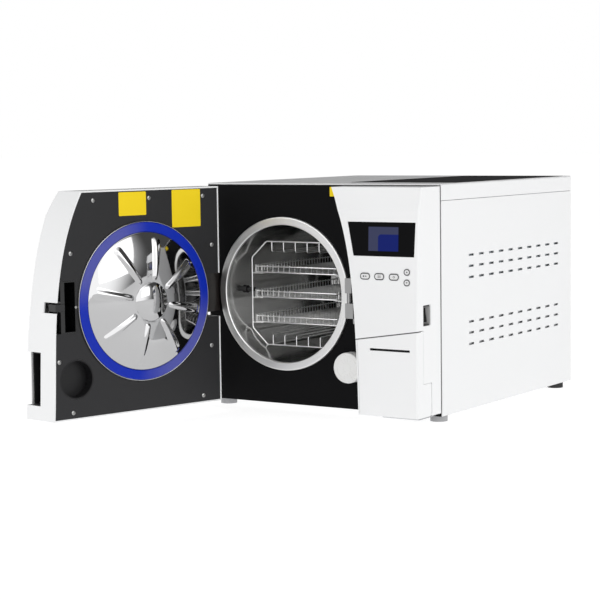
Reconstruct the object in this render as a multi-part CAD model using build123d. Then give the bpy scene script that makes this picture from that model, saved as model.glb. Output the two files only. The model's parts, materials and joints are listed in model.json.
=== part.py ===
from build123d import *
import math
import os

# Bench-top steam steriliser with its door standing open. Millimetres.
# +X right, +Y back, +Z up; the origin is on the bench, under the middle of the cabinet.
# Cutters run past a face by the bite, and pieces fused together share it.

# Cabinet
cabinet_width = 486.0
cabinet_depth = 516.0
cabinet_top = 408.0
foot_height = 12.0
foot_radius = 15.0
foot_side_inset = 21.0
foot_end_inset = 26.0
sheet = 1.5
pan_thickness = 2.0
pan_lip_height = 18.0
seat_gap = 0.3
body_gap = 0.5
bite = 1.0
wide_margin = 10.0
side_seam_drop = 28.6
side_seam_gap = 0.8
plate_thickness = 2.0
roll_height = 3.4
roll_reach = 3.0

# Vent slots in the side covers
vent_length = 19.2
vent_height = 4.0
vent_pitch = 38.0
vent_columns = 10
vent_start = 107.8
vent_upper_rows = (243.0, 262.5, 281.8)
vent_lower_rows = (126.2, 145.8, 165.2)

# Lids in the top
lid_side_inset = 6.0
lid_width = 212.0
lid_front = 64.0
lid_split = 234.3
lid_back = 498.0
lid_gap = 0.8
lid_thickness = 3.0
lid_sink = 1.0
lid_notch_width = 40.0
lid_notch_depth = 6.0

# Chamber
chamber_x = -76.2
chamber_z = 210.3
bore_radius = 123.5
vessel_wall = 3.0
vessel_straight = 352.0
vessel_dish_depth = 28.0
vessel_hole_gap = 0.5
flange_radius = 138.0
flange_reach = 8.0
flange_round = 2.5
flange_chamfer = 1.2
heater_thickness = 2.4
heater_start = 120.0
heater_length = 140.0
jacket_thickness = 15.0
jacket_start = 4.0
jacket_length = 352.0
cradle_thickness = 4.0
cradle_height = 86.0
cradle_half_width = 90.0
cradle_positions = (60.0, 290.0)
probe_depth = 55.0
probe_rod_radius = 4.0
probe_rod_length = 16.0
probe_boss_radius = 7.0
probe_boss_length = 4.0
probe_fit = 0.1

# Rack and trays
rack_front = 41.5
rack_length = 292.0
rack_drop = 4.4
ring_wire = 1.4
rail_wire = 1.1
skid_wire = 1.6
rack_half_side = 99.5
rack_side_corner = 65.0
rack_half_height = 94.5
rack_top_corner = 67.5
rack_bend = 9.0
rail_bend = 4.0
rail_reach = 18.5
side_rail_reach = 22.0
rail_pitch = 25.6
rail_count = 5
rail_shift = -4.0
tray_levels = (-57.9, -12.1, 33.1)
tray_width = 182.0
tray_length = 288.0
tray_height = 15.6
tray_sheet = 1.0
tray_rim = 2.0
tray_gap_count_x = 11
tray_gap_count_y = 16
tray_bar = 2.4
tray_border = 5.0
tray_side_gap_count = 24
tray_end_gap_count = 15
tray_front_reach = 9.5

# Front split between door and control panel: shares of the door's height, and the
# distance from the chamber's axis in the plane of the door plate and at the front.
split_shares = (0.0, 0.325, 0.551, 0.774, 1.0)
split_rear = (193.6, 188.8, 182.3, 165.6, 130.5)
split_front = (203.1, 198.4, 190.6, 176.1, 145.3)
split_gap = 3.0

# Front profile: how far the front stands forward, and where it changes slope
front_bottom = 18.6
front_top_drop = 4.0
crease_drop = 38.0
seam_height = 152.0
top_reach = 64.0
crease_reach = 74.5
seam_reach = 82.5
bottom_reach = 84.0
shell_wall = 2.5

# Door
door_gap = 14.0
door_open_angle = 105.7
pivot_side = 15.5
pivot_reach = 61.3
door_lip = 0.3
door_plate_thickness = 2.0
door_plate_gap = 0.3
dish_hole_radius = 139.0
dish_rim_radius = 138.4
dish_rim_stand = 4.0
dish_rim_width = 1.2
dish_sheet = 1.6
dish_wall_radius = 119.8
dish_channel_depth = 1.5
dish_wall_stand = 5.0
dish_mid_radius = 80.0
dish_mid_stand = 17.0
dish_boss_radius = 35.0
dish_boss_base = 21.0
dish_boss_stand = 30.0
dish_boss_flare = 3.0
dish_rib_count = 8
dish_rib_radius = 4.0
dish_rib_start = 48.0
dish_rib_end = 104.0
dish_rib_start_stand = 18.0
dish_rib_end_stand = 10.5
seal_stand = 5.7
seal_round = 2.0
hub_radius = 18.0
beam_height = 48.0
beam_thickness = 14.0
beam_end = -10.0
beam_pad_length = 30.0
beam_pad_height = 30.0
beam_pad_reach = 76.6
knuckle_radius = 10.5
hinge_pin_radius = 5.0
hinge_fit = 0.05
ear_radius = 9.0
ear_thickness = 11.0
ear_margin = 5.0
pin_head_height = 3.0
pin_head_overhang = 2.0
part_line = 0.01
hinge_web_back = 16.0
hinge_slot_half = 39.0
hinge_slot_width = 27.0
hinge_slot_depth = 62.3

# Door furniture
screw_head_radius = 3.2
screw_head_height = 1.6
screw_shank_radius = 1.5
screw_shank_length = 6.0
screw_fit = 0.1
top_screws = ((25.6, 16.3), (-91.1, 15.8), (-208.6, 16.0))
side_screws = ((73.6, 300.3), (-226.9, 300.4), (-222.8, 120.2), (101.2, 119.2), (-202.6, 31.7), (75.4, 30.9))
filter_cup_x = 67.0
filter_z = 87.0
filter_cup_radius = 33.5
filter_cup_depth = 22.0
cup_wall = 2.0
grip_floor_x = 90.0
grip_mouth_x = 114.2
grip_bottom = 43.0
grip_height = 91.0
grip_near = 35.0
grip_far = 61.0
grip_edge_cut = 114.0
case_left = 65.5
case_right = 96.0
case_half_height = 43.5
case_depth = 35.0
slot_right = 88.0
case_wall = 1.5

# Lock
bolt_left = 88.4
bolt_right = 106.5
bolt_step = 8.0
bolt_half_height = 6.0
bolt_nose_depth = 8.0
bolt_body_depth = 20.0
bolt_stand = 1.0
bolt_channel_gap = 0.3
bolt_notch_depth = 31.0
bolt_notch_half_height = 9.0
keeper_left = 70.0
keeper_upper_width = 13.0
keeper_lower_width = 16.0
keeper_reach = 30.0
keeper_half_gap = 9.0
keeper_block_height = 26.0
keeper_base_thickness = 4.0
keeper_tail = 12.0
keeper_bolt_radius = 4.0
keeper_pin_radius = 3.5
keeper_pin_inset = 5.0
keeper_pin_reach = 27.0

# Air filter
filter_x = 66.0
filter_radius = 27.0
filter_reach = 20.0
filter_spigot_radius = 8.0
filter_spigot_length = 12.0
filter_fit = 0.3
filter_groove_count = 24
filter_groove_radius = 1.2
filter_round = 3.0

# Control panel
panel_back_gap = 4.2
panel_post_width = 6.0
panel_post_height = 8.0
panel_post_run = 12.0
panel_post_left_high = 118.0
panel_post_left_low = 142.0
panel_corner = 4.0
display_left_top = 104.4
display_left_bottom = 116.5
display_right_top = 236.0
display_right_bottom = 234.0
display_drop = 20.2
display_height = 57.0
display_thickness = 2.0
display_recess = 0.2
display_fit = 0.3
lcd_left = 145.5
lcd_width = 58.0
lcd_rise = 8.7
lcd_height = 40.5
lcd_thickness = 8.0
board_thickness = 1.6
board_left = 124.0
board_right = 236.0
board_drop = 22.0
board_height = 108.0
pill_width = 19.6
pill_height = 11.7
pill_places = (139.9, 167.6, 196.1)
pill_drop = 111.4
arrow_width = 12.6
arrow_height = 11.6
arrow_x = 221.0
arrow_up_drop = 102.6
arrow_down_drop = 120.2
button_fit = 0.35
button_stand = 0.8
button_travel = 1.0
button_collar = 1.2
button_collar_gap = 0.4
button_collar_thickness = 1.4
button_clearance = 0.2
seam_left_height = 146.2
seam_right_height = 165.4
seam_gap = 0.8

# Service flap with the printer slot
flap_side_reach = 63.0
flap_step_height = 75.2
flap_step_reach = 35.0
flap_edge_overlap = 2.0
panel_seam_margin = 20.0
knuckle_wall = 3.2
flap_pin_radius = 1.5
flap_fit = 0.05
flap_knuckle_bottom = 24.0
flap_knuckle_top = 72.0
slot_left = 149.8
slot_end = 227.5
slot_level = 131.5
slot_height = 4.0
lug_top_thickness = 6.0

# Printer
printer_left = 150.0
printer_right = 228.0
printer_front = 74.0
printer_back = 12.0
printer_bottom = 98.0
printer_height = 42.0
printer_wall = 2.0
printer_head = 22.0
roll_radius = 17.0
roll_width = 58.0
bracket_thickness = 1.7
bracket_left = 160.0
bracket_right = 232.0
bracket_front = 60.0

# Power rocker
switch_front = 63.7
switch_back = 38.0
switch_bottom = 172.5
switch_top = 207.5
switch_depth = 17.0
switch_wall = 2.0
switch_recess = 13.0
rocker_width = 11.0
rocker_height = 24.0
rocker_thickness = 7.5
rocker_pivot_inset = 10.0
rocker_tilt = 7.0

# Inside the cabinet
tank_side_inset = 7.0
tank_width = 152.0
tank_front = 86.0
tank_back = 490.0
tank_bottom = 198.0
tank_wall = 2.5
tank_top_gap = 0.3
tank_divider = 234.3
shelf_thickness = 2.0
shelf_leg = 1.5
generator_side = 75.0
generator_y = 150.0
generator_radius = 38.0
generator_height = 140.0
generator_cap_radius = 12.0
generator_cap_height = 14.0
pump_side = (131.0, 37.0)
pump_y = (250.0, 340.0)
pump_height = 78.0
pump_head_radius = 26.0
pump_head_height = 40.0
board_y = (100.0, 240.0)
board_z = (32.0, 176.0)
board_sheet = 2.0
board_chip = 12.0
condenser_side = (147.0, 17.0)
condenser_y = (430.0, 480.0)
condenser_height = 130.0
fin_pitch = 8.0
fin_thickness = 1.6
fan_side = 83.0
fan_size = 120.0
fan_depth = 24.0
fan_bore = 56.0
fan_hub = 19.0
fan_tip = 54.0
fan_blade_count = 7
fan_blade_thickness = 2.0
fan_blade_pitch = 32.0
fan_blade_depth = 12.0
fan_strut = 6.0
fan_strut_thickness = 3.0
fan_axle = 3.0
grille_slot = 5.0
grille_pitch = 11.0
valve_radius = 9.0
valve_drop = 49.4
valve_inside = 12.0
valve_outside = 12.0
valve_collar_radius = 12.0
valve_collar = 5.0
coupler_x = (-180.0, -140.0)
coupler_z = 60.0
coupler_radius = 6.0
coupler_bore = 3.0
coupler_outside = 24.0
coupler_inside = 10.0
coupler_collar_radius = 9.5
coupler_collar = 4.0
coupler_nut = 4.0
inlet_x = -60.0
inlet_z = 60.0
inlet_width = 48.0
inlet_height = 27.0
inlet_mouth_width = 25.0
inlet_mouth_height = 17.0
inlet_depth = 17.0
inlet_body = 22.0
inlet_flange = 2.0
inlet_flange_side = 4.0
inlet_pin_width = 2.0
inlet_pin_height = 4.0
inlet_pin_spread = 7.0
rear_fit = 0.3

front = -cabinet_depth / 2
back = cabinet_depth / 2
half_width = cabinet_width / 2
pan_top = foot_height + pan_thickness
door_plane = front - door_gap
top_inside = cabinet_top - sheet
side_seam_height = cabinet_top - side_seam_drop
front_top = cabinet_top - front_top_drop
crease_height = front_top - crease_drop
lid_right = half_width - lid_side_inset
lid_left = lid_right - lid_width
pivot_x = -half_width + pivot_side
screw_places = tuple((x, front_top - drop) for x, drop in top_screws) + side_screws
display_top = crease_height - display_drop
display_bottom = display_top - display_height
lcd_bottom = display_bottom + lcd_rise
board_top = crease_height - board_drop
board_bottom = board_top - board_height
pill_level = crease_height - pill_drop
arrow_up_level = crease_height - arrow_up_drop
arrow_down_level = crease_height - arrow_down_drop
valve_z = side_seam_height - valve_drop
tank_right = half_width - tank_side_inset
tank_left = tank_right - tank_width
generator_x = half_width - generator_side
pump_x = tuple(half_width - distance for distance in pump_side)
condenser_x = tuple(half_width - distance for distance in condenser_side)
fan_x = half_width - fan_side
upper_slope = math.atan2(seam_reach - crease_reach, crease_height - seam_height)
upper_normal = (0, -math.cos(upper_slope), math.sin(upper_slope))
pivot = (pivot_x, front - pivot_reach)


def block(x_span, y_span, z_span):
    """A box between two values on each axis."""
    sizes = [span[1] - span[0] for span in (x_span, y_span, z_span)]
    middle = [(span[0] + span[1]) / 2 for span in (x_span, y_span, z_span)]
    return Pos(*middle) * Box(*sizes)


def rod_x(x_span, y, z, radius):
    """A round bar along X."""
    length = x_span[1] - x_span[0]
    return Pos((x_span[0] + x_span[1]) / 2, y, z) * Rot(0, 90, 0) * Cylinder(radius, length)


def rod_y(x, y_span, z, radius):
    """A round bar along Y."""
    length = y_span[1] - y_span[0]
    return Pos(x, (y_span[0] + y_span[1]) / 2, z) * Rot(90, 0, 0) * Cylinder(radius, length)


def rod_z(x, y, z_span, radius):
    """A round bar along Z."""
    return Pos(x, y, (z_span[0] + z_span[1]) / 2) * Cylinder(radius, z_span[1] - z_span[0])


def ring_y(x, y_span, z, inner, outer):
    """A round tube along Y."""
    margin = (y_span[0] - bite, y_span[1] + bite)
    return rod_y(x, y_span, z, outer) - rod_y(x, margin, z, inner)


def turned(profile, y):
    """A closed outline of (radius, distance back) turned about the chamber's axis."""
    return Pos(chamber_x, y, chamber_z) * revolve(profile, Axis.Y)


def bowl_height(rim_radius, depth, radius):
    """How far a shallow bowl stands at a radius, from nothing at its rim to its full depth."""
    sphere = (rim_radius ** 2 + depth ** 2) / (2 * depth)
    return depth - sphere + math.sqrt(sphere ** 2 - radius ** 2)


def bowl_arc(rim, middle):
    """The outline of a shallow bowl from its rim (radius, distance) to the axis."""
    halfway = rim[0] / 2
    height = rim[1] + bowl_height(rim[0], middle - rim[1], halfway)
    return ThreePointArc(rim, (halfway, height), (0, middle)).edge()


def holed_plate(origin, x_dir, normal, size, holes, thickness):
    """A thin plate with a list of rectangular holes (u, v, width, height)."""
    outer = Wire.make_rect(*size)
    inner = [Wire.make_rect(hole[2], hole[3]).moved(Location((hole[0], hole[1], 0))) for hole in holes]
    flat = Face(outer, inner)
    plane = Plane(origin=origin, x_dir=x_dir, z_dir=normal)
    return plane * extrude(flat, thickness, dir=(0, 0, 1))


def reach_at(z):
    """How far the front stands forward of the cabinet at a height."""
    if z > crease_height:
        share = (z - crease_height) / (front_top - crease_height)
        return crease_reach + share * (top_reach - crease_reach)
    if z > seam_height:
        share = (z - seam_height) / (crease_height - seam_height)
        return seam_reach + share * (crease_reach - seam_reach)
    share = (z - front_bottom) / (seam_height - front_bottom)
    return bottom_reach + share * (seam_reach - bottom_reach)


def front_prism(x_span, z_span, rear_reach, inset):
    """A bar along X whose front follows the profile, set back by a wall."""
    levels = [z_span[0], seam_height, crease_height, z_span[1]]
    face_line = [(x_span[0], front - reach_at(z) + inset, z) for z in levels]
    corners = [(x_span[0], front - rear_reach, z_span[0])] + face_line
    corners.append((x_span[0], front - rear_reach, z_span[1]))
    outline = make_face(Polyline(*corners, close=True))
    return extrude(outline, x_span[1] - x_span[0], dir=(1, 0, 0))


def split_points(distances, y, shift, z_span):
    """The split line's points in one plane."""
    height = z_span[1] - z_span[0]
    return [
        (chamber_x + distance + shift, y, z_span[0] + share * height)
        for share, distance in zip(split_shares, distances)
    ]


def split_body(side_x, shift, z_span):
    """Everything between a side of the cabinet and the split line."""
    run = bottom_reach - door_gap
    wires = []
    for y in (front, front - bottom_reach - shell_wall):
        share = (door_plane - y) / run
        distances = [near + share * (far - near) for near, far in zip(split_rear, split_front)]
        points = split_points(distances, y, shift, z_span)
        curve = Spline(*points)
        edges = [
            curve.edge(),
            Line(points[-1], (side_x, y, z_span[1])).edge(),
            Line((side_x, y, z_span[1]), (side_x, y, z_span[0])).edge(),
            Line((side_x, y, z_span[0]), points[0]).edge(),
        ]
        wires.append(Wire(edges))
    return Solid.make_loft(wires, ruled=True)


def closed_door(shape):
    """Swings a door piece from closed to where the photographed door stands."""
    hinge_axis = Axis((pivot[0], pivot[1], 0), (0, 0, 1))
    return shape.rotate(hinge_axis, -door_open_angle)


def on_front(x, z):
    """A plane on the upper front facet: local X right, local Y up, local Z outward."""
    return Plane(origin=(x, front - reach_at(z), z), x_dir=(1, 0, 0), z_dir=upper_normal)


def bent_wire(points, radius, wire, closed=False):
    """A round wire along straight runs with filleted bends."""
    path = FilletPolyline(*points, radius=radius, close=closed)
    start = path.wire()
    section = Plane(origin=start @ 0, z_dir=start % 0) * Circle(wire)
    return sweep(section, path=start)


parts = {}

# Base pan, feet and covers
pan_half = half_width - sheet - seat_gap
pan_back = back - sheet - seat_gap
pan = block((-pan_half, pan_half), (front + seat_gap, pan_back), (foot_height, pan_top + pan_lip_height))
pan -= block(
    (-pan_half + sheet, pan_half - sheet),
    (front + seat_gap + sheet, pan_back - sheet),
    (pan_top, cabinet_top),
)
parts["base_pan"] = pan

foot_x = half_width - foot_side_inset
foot_rows = (front + foot_end_inset, back - foot_end_inset)
parts["feet"] = Compound([
    rod_z(side * foot_x, y, (0, foot_height), foot_radius) for side in (-1, 1) for y in foot_rows
])


def side_cover(side, rows):
    """A flat side sheet with rows of vent slots."""
    height = side_seam_height - side_seam_gap / 2 - foot_height
    middle = (foot_height + height / 2, 0)
    slots = [
        (side * (front + vent_start + column * vent_pitch), row - middle[0], vent_length, vent_height)
        for row in rows for column in range(vent_columns)
    ]
    origin = (side * (half_width - sheet), 0, middle[0])
    return holed_plate(origin, (0, side, 0), (side, 0, 0), (cabinet_depth, height), slots, sheet)


parts["side_cover_right"] = side_cover(1, vent_upper_rows + vent_lower_rows)
parts["side_cover_left"] = side_cover(-1, vent_lower_rows)

lid_back_y = front + lid_back
top = block((-half_width, half_width), (front, back), (side_seam_height + side_seam_gap / 2, cabinet_top))
top = fillet(top.edges().filter_by(Axis.Y).group_by(Axis.Z)[-1], roll_reach)
top -= block(
    (-half_width + sheet, half_width - sheet), (front - bite, back + bite), (0, top_inside)
)
top -= block((lid_left, lid_right), (front + lid_front, lid_back_y), (0, cabinet_top + bite))
roll = block((-half_width + roll_reach, half_width - roll_reach), (front - roll_reach, front),
             (cabinet_top - roll_height, cabinet_top))
roll = fillet(roll.edges().filter_by(Axis.X).group_by(Axis.Y)[0].sort_by(Axis.Z)[-1], roll_reach - body_gap)
parts["top_cover"] = top + roll

# Front plate with the holes for the chamber and the filter
front_sheet = block(
    (-pan_half, pan_half), (front - plate_thickness, front), (foot_height, cabinet_top - roll_height - body_gap)
)
front_sheet -= rod_y(
    chamber_x, (front - plate_thickness - bite, front + bite), chamber_z, bore_radius + vessel_wall + vessel_hole_gap
)
front_sheet -= rod_y(
    filter_x, (front - plate_thickness - bite, front + bite), filter_z, filter_spigot_radius + filter_fit
)
parts["front_plate"] = front_sheet

# Pressure vessel, flange, heater, jacket
vessel_outer = bore_radius + vessel_wall
dish_start = vessel_straight
dish_end = vessel_straight + vessel_dish_depth
vessel_outline = make_face(Wire([
    Line((bore_radius, 0), (bore_radius, dish_start)).edge(),
    bowl_arc((bore_radius, dish_start), dish_end),
    Line((0, dish_end), (0, dish_end + vessel_wall)).edge(),
    bowl_arc((vessel_outer, dish_start), dish_end + vessel_wall),
    Line((vessel_outer, dish_start), (vessel_outer, 0)).edge(),
    Line((vessel_outer, 0), (bore_radius, 0)).edge(),
]))
vessel = turned(vessel_outline, front - plate_thickness)
probe_y = front + probe_depth
wall_x = chamber_x - bore_radius
vessel -= rod_x((wall_x - vessel_wall - bite, wall_x + probe_boss_length), probe_y, chamber_z, probe_rod_radius + probe_fit)
parts["chamber_vessel"] = vessel

flange_span = (front - flange_reach, front - plate_thickness)
flange = ring_y(chamber_x, flange_span, chamber_z, bore_radius, flange_radius)
flange_edges = flange.edges().filter_by(GeomType.CIRCLE).group_by(Axis.Y)[0].sort_by(SortBy.RADIUS)
flange = chamfer(flange_edges[0], flange_chamfer)
flange_edges = flange.edges().filter_by(GeomType.CIRCLE).group_by(Axis.Y)[0].sort_by(SortBy.RADIUS)
parts["chamber_flange"] = fillet(flange_edges[-1], flange_round)

heater_inner = vessel_outer + seat_gap
heater_outer = heater_inner + heater_thickness
parts["heater_band"] = ring_y(
    chamber_x, (front + heater_start, front + heater_start + heater_length), chamber_z, heater_inner, heater_outer
)
jacket_inner = heater_outer + seat_gap
jacket_outer = jacket_inner + jacket_thickness
parts["insulation_jacket"] = ring_y(
    chamber_x, (front + jacket_start, front + jacket_start + jacket_length), chamber_z, jacket_inner, jacket_outer
)
cradles = []
for start in cradle_positions:
    span = (front + start, front + start + cradle_thickness)
    cradle = block((chamber_x - cradle_half_width, chamber_x + cradle_half_width), span,
                   (pan_top, pan_top + cradle_height))
    cradles.append(cradle - rod_y(chamber_x, (span[0] - bite, span[1] + bite), chamber_z, jacket_outer + seat_gap))
parts["chamber_cradles"] = Compound(cradles)

probe_end = wall_x + seat_gap + probe_boss_length + probe_rod_length
probe = rod_x((wall_x - vessel_wall, probe_end), probe_y, chamber_z, probe_rod_radius)
probe += rod_x((wall_x + seat_gap, wall_x + seat_gap + probe_boss_length), probe_y, chamber_z, probe_boss_radius)
parts["temperature_probe"] = probe

# Hinge bracket on the cabinet and its pin
bracket_bottom = chamber_z - beam_height / 2 - body_gap - ear_thickness
bracket_top = chamber_z + beam_height / 2 + body_gap + ear_thickness
hinge_bracket = block((pivot_x - ear_radius, pivot_x + ear_radius), (pivot[1], front - plate_thickness),
                      (bracket_bottom, bracket_top))
hinge_bracket += rod_z(pivot_x, pivot[1], (bracket_bottom, bracket_top), ear_radius)
hinge_bracket -= block((pivot_x - ear_radius - ear_margin, pivot_x + ear_radius + ear_margin),
                       (pivot[1] - ear_radius - 5, pivot[1] + hinge_web_back),
                       (bracket_bottom + ear_thickness, bracket_top - ear_thickness))
hinge_bracket -= rod_z(pivot_x, pivot[1], (bracket_bottom - bite, bracket_top + bite), hinge_pin_radius + hinge_fit)
parts["hinge_bracket"] = hinge_bracket
hinge_pin = rod_z(pivot_x, pivot[1], (bracket_bottom - bite, bracket_top), hinge_pin_radius)
hinge_pin += rod_z(pivot_x, pivot[1], (bracket_top + part_line, bracket_top + pin_head_height),
                   hinge_pin_radius + pin_head_overhang)
parts["hinge_pin"] = hinge_pin + rod_z(pivot_x, pivot[1], (bracket_top - bite, bracket_top + bite), hinge_pin_radius)

# Keeper for the door lock
keeper_base = (front - plate_thickness - keeper_base_thickness, front - plate_thickness)
keeper_y = (front - plate_thickness - keeper_reach, front - plate_thickness - keeper_base_thickness)
lower_top = chamber_z - keeper_half_gap
upper_bottom = chamber_z + keeper_half_gap
keeper = block((keeper_left, keeper_left + keeper_lower_width), keeper_base,
               (lower_top - keeper_block_height - keeper_tail, upper_bottom + keeper_block_height))
keeper += block((keeper_left, keeper_left + keeper_lower_width), keeper_y, (lower_top - keeper_block_height, lower_top))
keeper += block((keeper_left, keeper_left + keeper_upper_width), keeper_y,
                (upper_bottom, upper_bottom + keeper_block_height))
keeper += rod_z(keeper_left + keeper_pin_inset, front - keeper_pin_reach,
                (lower_top - bite, upper_bottom + bite), keeper_pin_radius)
keeper += rod_y(keeper_left + keeper_lower_width / 2, (keeper_base[0] - 2, keeper_base[0]),
                lower_top - keeper_block_height - keeper_tail / 2, keeper_bolt_radius)
parts["latch_keeper"] = keeper

# Air filter
filter_back = front - plate_thickness - filter_fit
disc = rod_y(filter_x, (filter_back - filter_reach, filter_back), filter_z, filter_radius)
disc = fillet(disc.edges().filter_by(GeomType.CIRCLE).group_by(Axis.Y)[0], filter_round)
for index in range(filter_groove_count):
    angle = 2 * math.pi * index / filter_groove_count
    x = filter_x + filter_radius * math.cos(angle)
    z = filter_z + filter_radius * math.sin(angle)
    disc -= rod_y(x, (filter_back - filter_reach * 0.8, filter_back + bite), z, filter_groove_radius)
disc += rod_y(filter_x, (filter_back - bite, filter_back + filter_spigot_length), filter_z, filter_spigot_radius)
parts["air_filter"] = disc

# Rack: two eight-sided rings joined by rails on all four sides, on two skids that rest in the chamber
rack_y = (front + rack_front, front + rack_front + rack_length)


def around(u, w, y):
    """A point given from the chamber's axis."""
    return (chamber_x + u, y, chamber_z + w)


def rack_ring(y):
    """One eight-sided wire ring."""
    corners = [
        (rack_half_side, -rack_side_corner), (rack_half_side, rack_side_corner),
        (rack_top_corner, rack_half_height), (-rack_top_corner, rack_half_height),
        (-rack_half_side, rack_side_corner), (-rack_half_side, -rack_side_corner),
        (-rack_top_corner, -rack_half_height), (rack_top_corner, -rack_half_height),
    ]
    return bent_wire([around(u, w - rack_drop, y) for u, w in corners], rack_bend, ring_wire, closed=True)


def rack_rail(foot, head):
    """A wire that leaves one ring, runs back at its inner end and meets the other ring."""
    points = [around(*foot, rack_y[0]), around(*head, rack_y[0]), around(*head, rack_y[1]), around(*foot, rack_y[1])]
    return bent_wire(points, rail_bend, rail_wire)


tray_bottom = [chamber_z + level for level in tray_levels]
rails = []
for index in range(rail_count):
    u = (index - (rail_count - 1) / 2) * rail_pitch + rail_shift
    for side in (-1, 1):
        foot_w = side * rack_half_height - rack_drop
        rails.append(rack_rail((u, foot_w), (u, foot_w - side * rail_reach)))
for level in tray_levels:
    rail_w = level - seat_gap - rail_wire
    for side in (-1, 1):
        rails.append(rack_rail((side * rack_half_side, rail_w), (side * (rack_half_side - side_rail_reach), rail_w)))
skid_angle = math.atan2(rack_half_height + rack_drop, rack_top_corner)
skid_radius = bore_radius - seat_gap - skid_wire
for side in (-1, 1):
    skid_x = chamber_x + side * skid_radius * math.cos(skid_angle)
    rails.append(rod_y(skid_x, rack_y, chamber_z - skid_radius * math.sin(skid_angle), skid_wire))
parts["instrument_rack"] = rack_ring(rack_y[0]).fuse(rack_ring(rack_y[1]), *rails)


def grid_holes(width, depth, count_u, count_v, border, bar):
    """Equal rectangular gaps between bars."""
    hole_u = (width - 2 * border + bar) / count_u - bar
    hole_v = (depth - 2 * border + bar) / count_v - bar
    holes = []
    for i in range(count_u):
        for j in range(count_v):
            u = -width / 2 + border + hole_u / 2 + i * (hole_u + bar)
            v = -depth / 2 + border + hole_v / 2 + j * (hole_v + bar)
            holes.append((u, v, hole_u, hole_v))
    return holes


def tray(level):
    """A mesh tray with a turned-up mesh edge and a solid rim."""
    y_start = rack_y[0] - tray_front_reach
    y_middle = y_start + tray_length / 2
    bottom = chamber_z + level
    half = tray_width / 2
    wall_middle = bottom + tray_height / 2
    side_holes = grid_holes(tray_length, tray_height, tray_side_gap_count, 1, tray_rim, tray_bar)
    end_holes = grid_holes(tray_width, tray_height, tray_end_gap_count, 1, tray_rim, tray_bar)
    floor_holes = grid_holes(tray_width, tray_length, tray_gap_count_x, tray_gap_count_y, tray_border, tray_bar)
    floor = holed_plate((chamber_x, y_middle, bottom), (1, 0, 0), (0, 0, 1), (tray_width, tray_length),
                        floor_holes, tray_sheet)
    walls = []
    for side in (-1, 1):
        origin = (chamber_x + side * (half - tray_sheet), y_middle, wall_middle)
        walls.append(holed_plate(origin, (0, side, 0), (side, 0, 0), (tray_length, tray_height),
                                 side_holes, tray_sheet))
        origin = (chamber_x, y_middle + side * (tray_length / 2 - tray_sheet), wall_middle)
        walls.append(holed_plate(origin, (-side, 0, 0), (0, side, 0), (tray_width, tray_height),
                                 end_holes, tray_sheet))
    return floor.fuse(*walls)


for name, level in zip(("tray_lower", "tray_middle", "tray_upper"), tray_levels):
    parts[name] = tray(level)

# Door, built closed and then swung open
door_top_z = front_top
door_z = (front_bottom, door_top_z)
inner_z = (front_bottom + shell_wall, door_top_z - shell_wall)
wide_x = (-half_width - wide_margin, half_width + wide_margin)
door_side = -half_width
inner_side = door_side + shell_wall

shell = split_body(door_side, -split_gap, door_z) & front_prism(wide_x, door_z, door_gap, 0)
hollow = split_body(inner_side, -split_gap - shell_wall, inner_z)
hollow &= front_prism(wide_x, inner_z, 0, shell_wall)
shell -= hollow
shell += block((door_side, inner_side), (door_plane - bite, door_plane + door_lip), door_z)
slot_z = (chamber_z - hinge_slot_half, chamber_z + hinge_slot_half)
shell -= block((door_side - bite, inner_side + bite), (door_plane - hinge_slot_depth, door_plane + door_lip + bite), slot_z)
notch_z = (chamber_z - bolt_notch_half_height, chamber_z + bolt_notch_half_height)
shell -= block((case_right - bite, half_width), (door_plane - bolt_notch_depth, door_plane + bite), notch_z)
grip_z = (grip_bottom, grip_bottom + grip_height)
grip_y = (door_plane - grip_far, door_plane - grip_near)
shell -= block((grip_floor_x - body_gap, half_width), grip_y, grip_z)
shell -= block((grip_edge_cut, half_width), (front - bottom_reach - 5, grip_y[1]), grip_z)

plate_z = (inner_z[0] + door_plate_gap, inner_z[1] - door_plate_gap)
plate_y = (door_plane - door_plate_thickness, door_plane)
plate = split_body(inner_side + door_plate_gap, -split_gap - shell_wall - door_plate_gap, plate_z)
plate &= block(wide_x, plate_y, plate_z)
through = (plate_y[0] - bite, plate_y[1] + bite)
plate -= rod_y(chamber_x, through, chamber_z, dish_hole_radius)
plate -= block((door_side - bite, door_side + hinge_slot_width + bite), through, slot_z)
case_z = (chamber_z - case_half_height, chamber_z + case_half_height)
plate -= block((case_left - seat_gap, half_width), through, (case_z[0] - seat_gap, case_z[1] + seat_gap))
plate -= rod_y(filter_cup_x, through, filter_z, filter_cup_radius + seat_gap)
screws = []
for x, z in screw_places:
    plate -= rod_y(x, through, z, screw_shank_radius + screw_fit)
    screw = rod_y(x, (door_plane, door_plane + screw_head_height), z, screw_head_radius)
    screw += rod_y(x, (door_plane - screw_shank_length, door_plane + screw_head_height), z, screw_shank_radius)
    screws.append(screw)

beam_y = (pivot[1] - beam_thickness / 2, pivot[1] + beam_thickness / 2)
beam_z = (chamber_z - beam_height / 2, chamber_z + beam_height / 2)
beam = block((pivot_x, beam_end), beam_y, beam_z)
beam += rod_z(pivot_x, pivot[1], beam_z, knuckle_radius)
beam += block((beam_end - beam_pad_length, beam_end), (front - beam_pad_reach, pivot[1]),
              (chamber_z - beam_pad_height / 2, chamber_z + beam_pad_height / 2))
beam -= rod_z(pivot_x, pivot[1], (beam_z[0] - bite, beam_z[1] + bite), hinge_pin_radius + hinge_fit)

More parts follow.
